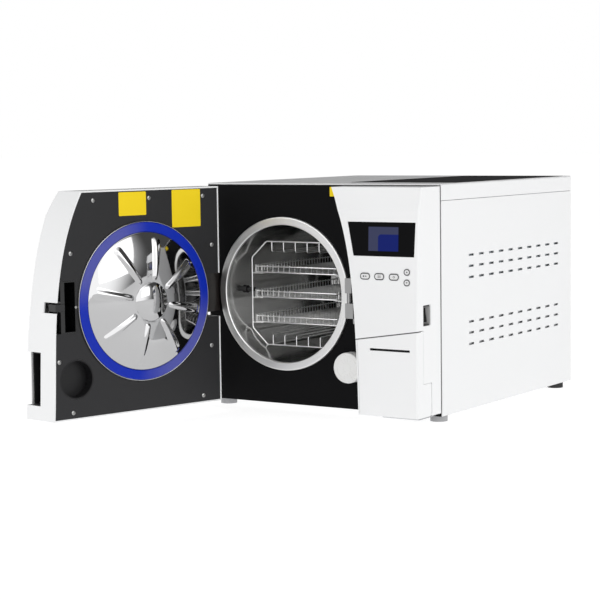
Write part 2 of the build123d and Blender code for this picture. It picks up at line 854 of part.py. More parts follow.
# The pressed dish: an outer channel for the seal, a bowed face, a central dome
rim_inner = dish_rim_radius - dish_rim_width
wall_inner = dish_wall_radius - dish_sheet
boss_edge = dish_boss_radius + dish_boss_flare
boss_inner = boss_edge - dish_sheet
channel_back = -dish_channel_depth - dish_sheet
dish_outline = make_face(Wire([
    Line((dish_rim_radius, channel_back), (dish_rim_radius, dish_rim_stand)).edge(),
    Line((dish_rim_radius, dish_rim_stand), (rim_inner, dish_rim_stand)).edge(),
    Line((rim_inner, dish_rim_stand), (rim_inner, -dish_channel_depth)).edge(),
    Line((rim_inner, -dish_channel_depth), (dish_wall_radius, -dish_channel_depth)).edge(),
    Line((dish_wall_radius, -dish_channel_depth), (dish_wall_radius, dish_wall_stand)).edge(),
    ThreePointArc((dish_wall_radius, dish_wall_stand), (dish_mid_radius, dish_mid_stand),
                  (boss_edge, dish_boss_base)).edge(),
    bowl_arc((boss_edge, dish_boss_base), dish_boss_stand),
    Line((0, dish_boss_stand), (0, dish_boss_stand - dish_sheet)).edge(),
    bowl_arc((boss_inner, dish_boss_base - dish_sheet), dish_boss_stand - dish_sheet),
    ThreePointArc((boss_inner, dish_boss_base - dish_sheet), (dish_mid_radius, dish_mid_stand - dish_sheet),
                  (wall_inner, dish_wall_stand - dish_sheet)).edge(),
    Line((wall_inner, dish_wall_stand - dish_sheet), (wall_inner, channel_back)).edge(),
    Line((wall_inner, channel_back), (dish_rim_radius, channel_back)).edge(),
]))
dish = turned(dish_outline, door_plane)
rib_run = dish_rib_end - dish_rib_start
rib_tilt = math.degrees(math.atan2(dish_rib_start_stand - dish_rib_end_stand, rib_run))
for index in range(dish_rib_count):
    start = Vector(dish_rib_start, 0, dish_rib_start_stand)
    end = Vector(dish_rib_end, 0, dish_rib_end_stand)
    plane = Plane(origin=start, z_dir=end - start)
    rib = plane * Pos(0, 0, (end - start).length / 2) * Cylinder(dish_rib_radius, (end - start).length)
    rib += Pos(*start) * Sphere(dish_rib_radius)
    rib += Pos(*end) * Sphere(dish_rib_radius)
    turn = 90 + index * 360 / dish_rib_count
    dish += Pos(chamber_x, door_plane, chamber_z) * Rot(-90, 0, 0) * Rot(0, 0, turn) * rib

seal_y = (door_plane - dish_channel_depth + seat_gap, door_plane + seal_stand)
seal = ring_y(chamber_x, seal_y, chamber_z, dish_wall_radius + seat_gap, rim_inner - seat_gap)
seal = fillet(seal.edges().filter_by(GeomType.CIRCLE).group_by(Axis.Y)[-1], seal_round)
hub_stand = dish_boss_base - dish_sheet - seat_gap
hub_stand += bowl_height(boss_inner, dish_boss_stand - dish_boss_base, hub_radius)
hub = rod_y(chamber_x, (beam_y[1], door_plane + hub_stand), chamber_z, hub_radius)

filter_cup = rod_y(filter_cup_x, (door_plane - filter_cup_depth, door_plane), filter_z, filter_cup_radius)
filter_cup -= rod_y(filter_cup_x, (door_plane - filter_cup_depth + cup_wall, door_plane + bite), filter_z,
                    filter_cup_radius - cup_wall)
grip = block((grip_floor_x, grip_mouth_x), (grip_y[0] + seat_gap, grip_y[1] - seat_gap),
             (grip_z[0] + seat_gap, grip_z[1] - seat_gap))
grip -= block((grip_floor_x + cup_wall, grip_mouth_x + bite),
              (grip_y[0] + seat_gap + cup_wall, grip_y[1] - seat_gap - cup_wall),
              (grip_z[0] + seat_gap + cup_wall, grip_z[1] - seat_gap - cup_wall))
bolt_z = (chamber_z - bolt_half_height, chamber_z + bolt_half_height)
channel_z = (bolt_z[0] - bolt_channel_gap, bolt_z[1] + bolt_channel_gap)
case = block((case_left, case_right), (door_plane - case_depth, door_plane), case_z)
case -= block((case_left + case_wall, slot_right), (door_plane - case_depth + case_wall, door_plane + bite),
              (case_z[0] + case_wall, case_z[1] - case_wall))
case -= block((slot_right - bite, case_right + bite), (door_plane - bolt_body_depth - bolt_channel_gap, door_plane + bite),
              channel_z)
bolt = block((bolt_left, bolt_right), (door_plane - bolt_nose_depth, door_plane + bolt_stand), bolt_z)
bolt += block((bolt_left + bolt_step, bolt_right), (door_plane - bolt_body_depth, door_plane + bolt_stand), bolt_z)

door_pieces = {
    "door_shell": shell, "door_plate": plate, "door_screws": Compound(screws), "door_beam": beam,
    "pressure_dish": dish, "door_seal": seal, "dish_hub": hub, "filter_cup": filter_cup,
    "grip_cup": grip, "latch_case": case, "lock_bolt": bolt,
}
for name, piece in door_pieces.items():
    parts[name] = closed_door(piece)

# Control panel housing
panel_z = (front_bottom, front_top)
panel_inner_z = (front_bottom + shell_wall, front_top - shell_wall)
housing = split_body(half_width, 0, panel_z) & front_prism(wide_x, panel_z, panel_back_gap, 0)
corner_edges = [
    edge for edge in housing.edges()
    if edge.center().X > half_width - 0.1 and edge.center().Y < front - top_reach + 10
    and abs((edge @ 0).Z - (edge @ 1).Z) > 10
]
housing = fillet(corner_edges, panel_corner)
housing_hollow = split_body(half_width - shell_wall, shell_wall, panel_inner_z)
housing_hollow &= front_prism(wide_x, panel_inner_z, 0, shell_wall)
housing -= housing_hollow


def below_seam(drop):
    """Everything in front of the cabinet below the sloping seam, lowered by a gap."""
    left = chamber_x + split_rear[0]
    slope = (seam_right_height - seam_left_height) / (half_width - left)
    corners = [(x, front, seam_left_height + (x - left) * slope - drop) for x in wide_x]
    corners += [(wide_x[1], front, 0), (wide_x[0], front, 0)]
    outline = make_face(Polyline(*corners, close=True))
    return extrude(outline, bottom_reach + shell_wall, dir=(0, -1, 0))


def flap_volume(seam_drop, edge_gap, hinge_gap):
    """What belongs to the flap: the front skin below the seam, and its lower side as a deeper band."""
    skin_z = (0, seam_height + panel_seam_margin)
    side_x = (half_width - shell_wall - flap_edge_overlap, wide_x[1])
    deep_y = (front - bottom_reach - bite, front - flap_step_reach - hinge_gap)
    volume = below_seam(seam_drop) & front_prism(wide_x, skin_z, flap_side_reach + edge_gap, 0)
    return volume + block(side_x, deep_y, (0, flap_step_height - edge_gap))


floor_strip = block((0, half_width - shell_wall - body_gap),
                    (front - bottom_reach + shell_wall + bite, front), (0, panel_inner_z[0]))
left_limit = split_body(half_width + bite, shell_wall + body_gap, panel_z)
left_strip = split_body(half_width, 0, panel_z) - split_body(half_width + bite, shell_wall, panel_z)
flap = (housing & flap_volume(seam_gap, body_gap, knuckle_wall) & left_limit) - floor_strip
housing -= (flap_volume(0, 0, 0) - floor_strip) - left_strip

hinge_x = half_width - knuckle_wall
hinge_y = front - flap_step_reach - knuckle_wall
knuckle_z = (flap_knuckle_bottom, flap_knuckle_top)
flap += rod_z(hinge_x, hinge_y, knuckle_z, knuckle_wall)
flap -= rod_z(hinge_x, hinge_y, (0, flap_step_height + bite), flap_pin_radius + flap_fit)
flap -= block((hinge_x - knuckle_wall - bite, half_width + bite), (hinge_y - knuckle_wall - body_gap, front),
              (0, knuckle_z[0]))
flap -= block((slot_left, slot_end), (front - bottom_reach - bite, front - flap_side_reach),
              (slot_level - slot_height / 2, slot_level + slot_height / 2))
parts["service_flap"] = flap

housing += rod_z(hinge_x, hinge_y, (panel_inner_z[0] - bite, knuckle_z[0] - seat_gap), knuckle_wall)
housing += rod_z(hinge_x, hinge_y, (flap_step_height + body_gap, flap_step_height + lug_top_thickness), knuckle_wall)
housing += rod_z(hinge_x, hinge_y, (panel_inner_z[0], flap_step_height + lug_top_thickness), flap_pin_radius)


def display_outline(grow):
    """The display window's outline on the upper facet, from its lower left corner."""
    corners = [
        (display_left_bottom - grow, display_bottom - grow), (display_right_bottom + grow, display_bottom - grow),
        (display_right_top + grow, display_top + grow), (display_left_top - grow, display_top + grow),
    ]
    local = [(x, (z - display_bottom) / math.cos(upper_slope)) for x, z in corners]
    return make_face(Polyline(*local, close=True))


facet = on_front(0, display_bottom)
window = facet * Pos(0, 0, -display_recess - display_thickness) * extrude(display_outline(0), display_thickness)
housing -= facet * Pos(0, 0, -shell_wall - 2) * extrude(display_outline(display_fit), shell_wall + 4)
parts["display_window"] = window
lcd_front = -display_recess - display_thickness - seat_gap
lcd_plane = on_front(lcd_left + lcd_width / 2, lcd_bottom + lcd_height / 2)
parts["lcd_module"] = lcd_plane * Pos(0, 0, lcd_front - lcd_thickness / 2) * Box(lcd_width, lcd_height, lcd_thickness)
board_front = lcd_front - lcd_thickness
board_plane = on_front((board_left + board_right) / 2, (board_bottom + board_top) / 2)
parts["control_board"] = board_plane * Pos(0, 0, board_front - board_thickness / 2) * Box(
    board_right - board_left, board_top - board_bottom, board_thickness)


def button(x, z, width, height):
    """A button cap with a collar behind the wall and a stem towards the board."""
    plane = on_front(x, z)
    radius = height / 2 - 0.1
    cap = extrude(RectangleRounded(width, height, radius), button_stand + shell_wall + bite)
    cap = Pos(0, 0, -shell_wall - bite) * cap
    collar = RectangleRounded(width + 2 * button_collar, height + 2 * button_collar, radius)
    collar = Pos(0, 0, -shell_wall - button_collar_gap - button_collar_thickness) * extrude(
        collar, button_collar_thickness)
    stem_end = board_front + button_travel + button_clearance
    stem = Pos(0, 0, stem_end) * extrude(Rectangle(height / 3, height / 3), -stem_end - shell_wall - bite)
    hole = RectangleRounded(width + 2 * button_fit, height + 2 * button_fit, radius + button_fit)
    opening = Pos(0, 0, -shell_wall - 2) * extrude(hole, shell_wall + 4)
    return plane * (cap + collar + stem), plane * opening


button_list = {
    "button_start": (pill_places[0], pill_level, pill_width, pill_height),
    "button_menu": (pill_places[1], pill_level, pill_width, pill_height),
    "button_enter": (pill_places[2], pill_level, pill_width, pill_height),
    "button_up": (arrow_x, arrow_up_level, arrow_width, arrow_height),
    "button_down": (arrow_x, arrow_down_level, arrow_width, arrow_height),
}
for name, place in button_list.items():
    parts[name], opening = button(*place)
    housing -= opening

# Posts that hold the panel off the front plate
post_y = (front - panel_back_gap - panel_post_run, front - plate_thickness - seat_gap)
post_right = half_width - shell_wall - panel_post_width
for x in (panel_post_left_high, post_right):
    housing += block((x, x + panel_post_width), post_y,
                     (panel_inner_z[1] - panel_post_height, panel_inner_z[1] + bite))
for x in (panel_post_left_low, post_right):
    housing += block((x, x + panel_post_width), post_y,
                     (panel_inner_z[0] - bite, panel_inner_z[0] + panel_post_height))

# Power rocker in its pocket in the panel's side
switch_y = (front - switch_front, front - switch_back)
switch_z = (switch_bottom, switch_top)
housing -= block((half_width - shell_wall - bite, half_width + bite), switch_y, switch_z)
inner_y = (switch_y[0] + seat_gap, switch_y[1] - seat_gap)
inner_sz = (switch_z[0] + seat_gap, switch_z[1] - seat_gap)
switch_body = block((half_width - switch_depth, half_width - seat_gap), inner_y, inner_sz)
recess_y = (inner_y[0] + switch_wall, inner_y[1] - switch_wall)
recess_z = (inner_sz[0] + switch_wall, inner_sz[1] - switch_wall)
switch_body -= block((half_width - switch_recess, half_width + bite), recess_y, recess_z)
parts["switch_body"] = switch_body
rocker_x = half_width - rocker_pivot_inset
rocker_z = (switch_bottom + switch_top) / 2
rocker_y = (recess_y[0] + seat_gap, recess_y[0] + seat_gap + rocker_width)
rocker = block((rocker_x, rocker_x + rocker_thickness), rocker_y,
               (rocker_z - rocker_height / 2, rocker_z + rocker_height / 2))
rocker += rod_y(rocker_x, rocker_y, rocker_z, rocker_pivot_inset - rocker_thickness)
rocker_axis = Axis((rocker_x, 0, rocker_z), (0, 1, 0))
parts["power_rocker"] = rocker.rotate(rocker_axis, -rocker_tilt)
parts["panel_housing"] = housing

# Printer with its paper roll, on a bracket under and behind the panel
printer_y = (front - printer_front, front - printer_back)
printer = block((printer_left, printer_right), printer_y, (printer_bottom, printer_bottom + printer_height))
cavity_x = (printer_left + printer_wall, printer_right - printer_wall)
cavity_y = (printer_y[0] + printer_head, printer_y[1] - printer_wall)
printer -= block(cavity_x, cavity_y, (printer_bottom + printer_wall, printer_bottom + printer_height + bite))
parts["printer"] = printer
roll_x = (printer_left + printer_right) / 2
parts["paper_roll"] = rod_x(
    (roll_x - roll_width / 2, roll_x + roll_width / 2), (cavity_y[0] + cavity_y[1]) / 2,
    printer_bottom + printer_wall + seat_gap + roll_radius, roll_radius
)
bracket_back = front - plate_thickness - seat_gap
shelf_z = (printer_bottom - seat_gap - bracket_thickness, printer_bottom - seat_gap)
tongue_z = (foot_height + bite, foot_height + bite + bracket_thickness)
bracket = block((bracket_left, bracket_right), (bracket_back - bracket_thickness, bracket_back),
                (tongue_z[0], shelf_z[1]))
bracket += block((bracket_left, bracket_right), (front - bracket_front, bracket_back), tongue_z)
bracket += block((bracket_left, printer_right), (printer_y[0], bracket_back), shelf_z)
parts["panel_bracket"] = bracket

# Tank lids in the top
lid_z = (top_inside - lid_sink, top_inside - lid_sink + lid_thickness)


def tank_lid(y_span):
    """A flat lid with a round hinged edge and a finger notch in its free edge."""
    barrel = lid_thickness / 2
    x_span = (lid_left + lid_gap + barrel, lid_right - lid_gap)
    y_span = (y_span[0] + lid_gap / 2, y_span[1] - lid_gap / 2)
    lid = block(x_span, y_span, lid_z) + rod_y(x_span[0], y_span, lid_z[0] + barrel, barrel)
    middle = (y_span[0] + y_span[1]) / 2
    notch = (x_span[1] - lid_notch_depth, x_span[1] + bite)
    return lid - block(notch, (middle - lid_notch_width / 2, middle + lid_notch_width / 2),
                       (lid_z[0] + bite, lid_z[1] + bite))


parts["clean_tank_lid"] = tank_lid((front + lid_front + lid_gap / 2, front + lid_split))
parts["used_tank_lid"] = tank_lid((front + lid_split, front + lid_back - lid_gap / 2))

# Twin water tank on a shelf
tank_y = (front + tank_front, front + tank_back)
tank_z = (tank_bottom + seat_gap, lid_z[0] - tank_top_gap)
tanks = block((tank_left, tank_right), tank_y, tank_z)
divider_y = front + tank_divider
tank_inner_x = (tank_left + tank_wall, tank_right - tank_wall)
for y_span in ((tank_y[0] + tank_wall, divider_y - tank_wall / 2), (divider_y + tank_wall / 2, tank_y[1] - tank_wall)):
    tanks -= block(tank_inner_x, y_span, (tank_z[0] + tank_wall, cabinet_top))
parts["water_tanks"] = tanks
shelf_x = (tank_left, half_width - sheet - seat_gap - sheet - seat_gap)
shelf = block(shelf_x, tank_y, (pan_top, tank_bottom))
shelf -= block((shelf_x[0] + shelf_leg, shelf_x[1] - shelf_leg), (tank_y[0] - bite, tank_y[1] + bite),
               (0, tank_bottom - shelf_thickness))
parts["tank_shelf"] = shelf

# Steam generator, vacuum pump, main board
generator_y0 = front + generator_y
generator = rod_z(generator_x, generator_y0, (pan_top, pan_top + generator_height), generator_radius)
generator += rod_z(generator_x, generator_y0,
                   (pan_top + generator_height - bite, pan_top + generator_height + generator_cap_height),
                   generator_cap_radius)
parts["steam_generator"] = generator
pump_span = (front + pump_y[0], front + pump_y[1])
pump = block(pump_x, pump_span, (pan_top, pan_top + pump_height))
pump += rod_z((pump_x[0] + pump_x[1]) / 2, (pump_span[0] + pump_span[1]) / 2,
              (pan_top + pump_height - bite, pan_top + pump_height + pump_head_height), pump_head_radius)
parts["vacuum_pump"] = pump
board_x0 = shelf_x[0] + shelf_leg + seat_gap
board_span = (front + board_y[0], front + board_y[1])
board = block((board_x0, board_x0 + board_sheet), board_span, board_z)
chip_y = [board_span[0] + (board_span[1] - board_span[0]) * share for share in (0.2, 0.5, 0.8)]
for y in chip_y:
    chip_middle = (board_z[0] + board_z[1]) / 2
    board += block((board_x0 + board_sheet - 0.5, board_x0 + board_sheet + board_chip), (y - board_chip, y + board_chip),
                   (chip_middle - board_chip, chip_middle + board_chip))
parts["main_board"] = board

# Condenser and fan
condenser_span = (front + condenser_y[0], front + condenser_y[1])
condenser = block(condenser_x, condenser_span, (pan_top, pan_top + condenser_height))
fin_count = int((condenser_x[1] - condenser_x[0] - fin_thickness) / fin_pitch)
for index in range(fin_count):
    start = condenser_x[0] + fin_thickness + index * fin_pitch
    condenser -= block((start, start + fin_pitch - fin_thickness),
                       (condenser_span[0] - bite, condenser_span[1] - condenser_height * 0.1),
                       (pan_top + fin_pitch, pan_top + condenser_height - fin_pitch))
parts["condenser"] = condenser
fan_back = pan_back - sheet - seat_gap
fan_y = (fan_back - fan_depth, fan_back)
fan_z = pan_top + fan_size / 2
frame = block((fan_x - fan_size / 2, fan_x + fan_size / 2), fan_y, (pan_top, pan_top + fan_size))
frame -= rod_y(fan_x, (fan_y[0] - bite, fan_y[1] + bite), fan_z, fan_bore)
strut_y = (fan_y[1] - fan_strut_thickness, fan_y[1])
frame += block((fan_x - fan_bore - bite, fan_x + fan_bore + bite), strut_y, (fan_z - fan_strut / 2, fan_z + fan_strut / 2))
frame += block((fan_x - fan_strut / 2, fan_x + fan_strut / 2), strut_y, (fan_z - fan_bore - bite, fan_z + fan_bore + bite))
frame += rod_y(fan_x, (fan_y[0] + fan_strut_thickness, fan_y[1]), fan_z, fan_axle)
parts["fan_frame"] = frame
rotor_y = (fan_y[0] + fan_strut_thickness, strut_y[0] - body_gap)
rotor = rod_y(fan_x, rotor_y, fan_z, fan_hub)
blade_middle = (rotor_y[0] + rotor_y[1]) / 2
for index in range(fan_blade_count):
    blade = Pos(0, 0, (fan_hub + fan_tip) / 2 - bite) * Rot(0, 0, fan_blade_pitch) * Box(
        fan_blade_thickness, fan_blade_depth, fan_tip - fan_hub + 2)
    rotor += Pos(fan_x, blade_middle, fan_z) * Rot(0, index * 360 / fan_blade_count, 0) * blade
rotor -= rod_y(fan_x, (rotor_y[0] - bite, rotor_y[1] + bite), fan_z, fan_axle + flap_fit)
parts["fan_rotor"] = rotor

# Rear panel with what passes through it
rear_z = (foot_height, side_seam_height)
rear_height = top_inside - seat_gap - rear_z[0]
rear_middle = rear_z[0] + rear_height / 2
rear_half = half_width - sheet - seat_gap
grille_count = int(2 * fan_bore / grille_pitch)
grille = []
for index in range(grille_count):
    offset = (index - (grille_count - 1) / 2) * grille_pitch
    height = 2 * math.sqrt(fan_bore ** 2 - offset ** 2) - grille_pitch
    grille.append((-(fan_x + offset), fan_z - rear_middle, grille_slot, height))
rear = holed_plate((0, back - sheet, rear_middle), (-1, 0, 0), (0, 1, 0), (2 * rear_half, rear_height), grille, sheet)
rear_through = (back - sheet - bite, back + bite)
rear -= rod_y(chamber_x, rear_through, valve_z, valve_radius + rear_fit)
for x in coupler_x:
    rear -= rod_y(x, rear_through, coupler_z, coupler_radius + rear_fit)
rear -= block((inlet_x - inlet_width / 2 - rear_fit, inlet_x + inlet_width / 2 + rear_fit), rear_through,
              (inlet_z - inlet_height / 2 - rear_fit, inlet_z + inlet_height / 2 + rear_fit))
parts["rear_panel"] = rear

inside = back - sheet - seat_gap
valve = rod_y(chamber_x, (inside - valve_inside, back + valve_outside), valve_z, valve_radius)
parts["safety_valve"] = valve + rod_y(chamber_x, (inside - valve_collar, inside), valve_z, valve_collar_radius)
couplers = []
for x in coupler_x:
    coupler = rod_y(x, (inside - coupler_inside, back + coupler_outside), coupler_z, coupler_radius)
    coupler += rod_y(x, (inside - coupler_collar, inside), coupler_z, coupler_collar_radius)
    coupler += rod_y(x, (back + seat_gap, back + coupler_nut), coupler_z, coupler_collar_radius)
    couplers.append(coupler - rod_y(x, (inside - coupler_inside - bite, back + coupler_outside + bite), coupler_z,
                                    coupler_bore))
parts["drain_couplers"] = Compound(couplers)

inlet = block((inlet_x - inlet_width / 2, inlet_x + inlet_width / 2), (back - inlet_body, back + inlet_flange),
              (inlet_z - inlet_height / 2, inlet_z + inlet_height / 2))
inlet += block((inlet_x - inlet_width / 2 - inlet_flange_side, inlet_x + inlet_width / 2 + inlet_flange_side),
               (back + part_line, back + inlet_flange),
               (inlet_z - inlet_height / 2 - inlet_flange_side, inlet_z + inlet_height / 2 + inlet_flange_side))
inlet_floor = back + inlet_flange - inlet_depth
inlet -= block((inlet_x - inlet_mouth_width / 2, inlet_x + inlet_mouth_width / 2),
               (inlet_floor, back + inlet_flange + bite),
               (inlet_z - inlet_mouth_height / 2, inlet_z + inlet_mouth_height / 2))
for offset in (-inlet_pin_spread, 0, inlet_pin_spread):
    inlet += block((inlet_x + offset - inlet_pin_width / 2, inlet_x + offset + inlet_pin_width / 2),
                   (inlet_floor - bite, back), (inlet_z - inlet_pin_height / 2, inlet_z + inlet_pin_height / 2))
parts["power_inlet"] = inlet

os.makedirs("parts", exist_ok=True)
for name, shape in parts.items():
    export_step(shape, "parts/" + name + ".step")
print(len(parts), "nodes written")
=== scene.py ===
# %% [markdown]
# # A bench steam steriliser with its door open
# The solid model comes in as a fixed frame of named nodes. This file gives each node its finish, and adds
# what a solid model leaves out: woven wire trays, a mirror-bright pressed dish, screw heads, printed marks
# and blank labels. No node is moved or resized. Every place below is in metres, in the frame of the solids.

import json
import math

import bmesh
import bpy
from mathutils import Matrix, Vector


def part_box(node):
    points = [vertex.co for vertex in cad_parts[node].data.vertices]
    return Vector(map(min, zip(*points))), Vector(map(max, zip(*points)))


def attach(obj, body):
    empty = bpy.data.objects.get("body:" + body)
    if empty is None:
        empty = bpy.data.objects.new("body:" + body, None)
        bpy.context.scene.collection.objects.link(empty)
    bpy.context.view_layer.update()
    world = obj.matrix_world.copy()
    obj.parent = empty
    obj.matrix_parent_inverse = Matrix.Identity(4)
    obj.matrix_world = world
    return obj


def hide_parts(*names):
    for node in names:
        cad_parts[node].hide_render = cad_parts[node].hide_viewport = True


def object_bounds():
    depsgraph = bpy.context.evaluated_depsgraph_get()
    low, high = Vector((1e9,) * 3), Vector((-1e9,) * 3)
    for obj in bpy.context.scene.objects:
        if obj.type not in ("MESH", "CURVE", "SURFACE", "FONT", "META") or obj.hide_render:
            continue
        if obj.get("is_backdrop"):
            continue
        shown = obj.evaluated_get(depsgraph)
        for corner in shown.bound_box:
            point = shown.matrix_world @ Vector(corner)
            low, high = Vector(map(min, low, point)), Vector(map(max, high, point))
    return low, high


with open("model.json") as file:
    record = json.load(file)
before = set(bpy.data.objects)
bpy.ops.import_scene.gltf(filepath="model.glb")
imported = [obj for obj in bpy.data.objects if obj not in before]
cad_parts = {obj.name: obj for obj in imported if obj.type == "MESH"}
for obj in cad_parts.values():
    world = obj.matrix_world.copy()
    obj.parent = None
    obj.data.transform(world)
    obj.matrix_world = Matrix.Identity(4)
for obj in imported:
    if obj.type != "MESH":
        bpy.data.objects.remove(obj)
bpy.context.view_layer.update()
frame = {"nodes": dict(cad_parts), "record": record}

# %% [markdown]
# ## Camera
# A product photograph like this one is taken with a long lens, so upright edges stay nearly parallel. The
# camera stands 3.4 metres away, to the right of the front and a little above the instrument. It could be
# aimed at an empty, but its three angles are known, so its axes are worked out from them.

# %% The camera
YAW, PITCH, ROLL = (math.radians(angle) for angle in (33.3971, -5.2811, -0.7736))
EYE = Vector((1.705503, -2.911999, 0.49409))
FOCAL_PIXELS, FRAME_PIXELS = 1791.6, 600
SENSOR_WIDTH, FAR_CLIP = 36, 100


def camera_axes(yaw, pitch, roll):
    """The camera's right, up and back directions."""
    forward = Vector((-math.sin(yaw) * math.cos(pitch), math.cos(yaw) * math.cos(pitch), math.sin(pitch)))
    right = Vector((math.cos(yaw), math.sin(yaw), 0))
    up = right.cross(forward)
    return (
        math.cos(roll) * right + math.sin(roll) * up,
        -math.sin(roll) * right + math.cos(roll) * up,
        -forward,
    )


lens = bpy.data.cameras.new("camera")
lens.sensor_width = SENSOR_WIDTH
lens.lens = FOCAL_PIXELS / FRAME_PIXELS * SENSOR_WIDTH
lens.clip_end = FAR_CLIP
camera = bpy.data.objects.new("camera", lens)
turned = Matrix(camera_axes(YAW, PITCH, ROLL)).transposed().to_4x4()
camera.matrix_world = Matrix.Translation(EYE) @ turned
bpy.context.scene.collection.objects.link(camera)
bpy.context.scene.camera = camera
print("camera: lens", round(lens.lens, 1), "mm")


# %% [markdown]
# ## Shader maths
# Patterns such as turned grooves are easiest to write as formulas. They could be wired up node by node, but
# a formula is shorter and shows its meaning. `Value` wraps a socket, and an expression on values adds its
# Math nodes. `Finish` is a material with one method that makes any other node.

# %% Shader maths
class Value:
    """A number that varies over a surface, used in ordinary expressions."""

    def __init__(self, finish, socket):
        self.finish, self.socket = finish, socket

    def maths(self, operation, *others):
        inputs = {index: other for index, other in enumerate((self, *others))}
        return self.finish.add("ShaderNodeMath", {"operation": operation}, inputs)

    def __add__(self, other):
        return self.maths("ADD", other)

    def __sub__(self, other):
        return self.maths("SUBTRACT", other)

    def __rsub__(self, other):
        return self.maths("MULTIPLY", -1).maths("ADD", other)

    def __mul__(self, other):
        return self.maths("MULTIPLY", other)

    def __truediv__(self, other):
        return self.maths("DIVIDE", other)

    def __pow__(self, other):
        return self.maths("POWER", other)

    __radd__ = __add__
    __rmul__ = __mul__

    def step(self, low, high):
        """Nothing below low, all above high, smooth between."""
        settings = {"interpolation_type": "SMOOTHSTEP"}
        return self.finish.add("ShaderNodeMapRange", settings, {0: self, 1: low, 2: high})


finishes = {}


class Finish:
    """A material and its principled shader, kept by name in the list of finishes."""

    def __init__(self, name, colour, roughness, **fixed):
        self.material = bpy.data.materials.new(name)
        self.material.use_nodes = True
        self.nodes = self.material.node_tree.nodes
        self.links = self.material.node_tree.links
        self.shader = self.nodes["Principled BSDF"]
        self.coordinates = None
        self.set("Base Color", colour)
        self.set("Roughness", roughness)
        for socket, value in fixed.items():
            self.set(socket.replace("_", " "), value)
        finishes[name] = self

    def set(self, name, value):
        """Sets or links one input of the shader."""
        self.feed(self.shader.inputs[name], value)

    def feed(self, socket, value):
        if isinstance(value, Value):
            self.links.new(value.socket, socket)
        elif socket.type == "RGBA" and len(value) == 3:
            socket.default_value = (*value, 1)
        else:
            socket.default_value = value

    def add(self, kind, settings=None, inputs=None, output=0):
        """Any node: its settings first, then the values or links of its sockets."""
        node = self.nodes.new(kind)
        for name, value in (settings or {}).items():
            setattr(node, name, value)
        for name, value in (inputs or {}).items():
            self.feed(node.inputs[name], value)
        return Value(self, node.outputs[output])

    def place(self):
        """The point's place on the object, in metres."""
        if self.coordinates is None:
            self.coordinates = self.add("ShaderNodeTexCoord", output="Object")
        return self.coordinates

    def moved(self, shift=(0, 0, 0), turn=(0, 0, 0), scale=(1, 1, 1)):
        """The place, moved, turned or stretched."""
        return self.add("ShaderNodeMapping", {"vector_type": "TEXTURE"},
                        {"Vector": self.place(), "Location": shift, "Rotation": turn, "Scale": scale})

    def split(self, vector):
        """The three coordinates of a vector."""
        first = self.add("ShaderNodeSeparateXYZ", None, {0: vector})
        return [Value(self, socket) for socket in first.socket.node.outputs]

    def noise(self, scale, detail=3, vector=None):
        inputs = {"Vector": vector or self.place(), "Scale": scale, "Detail": detail}
        return self.add("ShaderNodeTexNoise", None, inputs)

    def mix(self, factor, first, second):
        """One colour fading into another."""
        return self.add("ShaderNodeMix", {"data_type": "RGBA"}, {0: factor, 6: first, 7: second}, output=2)

    def bump(self, height, distance):
        """Lets a height in metres tilt the surface."""
        self.set("Normal", self.add("ShaderNodeBump", None, {"Height": height, "Distance": distance}))


print("shader maths ready")

# %% [markdown]
# ## Paints and plastics
# The covers are powder coated, which leaves a fine orange peel. The panel, the door and the caps are
# moulded, with a finer grain. A picture of such a skin could be wrapped round them, but noises that read the
# point's place need no unwrapping and never stretch. A fine one tilts the surface, and two slow ones shift
# the gloss and the shade, so that highlights break up a little.

# %% Paints and plastics
GLOSS_SCALE, SHADE_SCALE, DARKER = 9, 5, 0.94


def painted(name, colour, roughness, peel=900, depth=0.00002, drift=0.06, **fixed):
    """A sprayed or moulded surface with a fine skin and slow changes of gloss and shade."""
    finish = Finish(name, colour, roughness, **fixed)
    finish.set("Roughness", roughness + (finish.noise(GLOSS_SCALE, 4) - 0.5) * drift * 2)
    darker = tuple(DARKER * part for part in colour)
    finish.shade = finish.mix(finish.noise(SHADE_SCALE, 2) * 0.5, colour, darker)
    finish.set("Base Color", finish.shade)
    finish.bump(finish.noise(peel, 2), depth)
    return finish


painted("cover_paint", (0.84, 0.845, 0.85), 0.42)
painted("plate_paint", (0.0045, 0.0045, 0.005), 0.6, Specular_IOR_Level=0.06)
painted("door_plate_paint", (0.016, 0.016, 0.0175), 0.5, Specular_IOR_Level=0.3)
painted("bracket_paint", (0.012, 0.009, 0.008), 0.5)
painted("white_plastic", (0.85, 0.855, 0.86), 0.36, peel=1500, depth=0.000008)
painted("black_plastic", (0.008, 0.008, 0.009), 0.45, peel=1400, Specular_IOR_Level=0.3)
painted("gloss_black", (0.003, 0.003, 0.0035), 0.14, peel=300, depth=0.000003, drift=0.04)
painted("button_plastic", (0.74, 0.74, 0.74), 0.4, peel=2500, depth=0.000005)
painted("filter_plastic", (0.84, 0.84, 0.83), 0.42, peel=1800)
painted("foot_rubber", (0.018, 0.018, 0.018), 0.7, peel=1200)
painted("board_green", (0.01, 0.12, 0.05), 0.35, peel=400)
painted("tank_plastic", (0.62, 0.67, 0.7), 0.3, peel=700)
painted("lid_plastic", (0.012, 0.012, 0.013), 0.5, peel=1100, Specular_IOR_Level=0.12)
painted("bolt_plastic", (0.008, 0.008, 0.009), 0.35, peel=1500)
painted("switch_grey", (0.62, 0.62, 0.62), 0.5, peel=1400)
painted("heater_silicone", (0.42, 0.12, 0.04), 0.6, peel=1000)
painted("roll_paper", (0.8, 0.79, 0.74), 0.9, peel=2000)
painted("label_vinyl", (0.9, 0.66, 0.012), 0.5, depth=0.000004, Specular_IOR_Level=0.15)
painted("print_ink", (0.022, 0.024, 0.03), 0.5, peel=2500, depth=0.000002)
print("paints and plastics:", len(finishes))

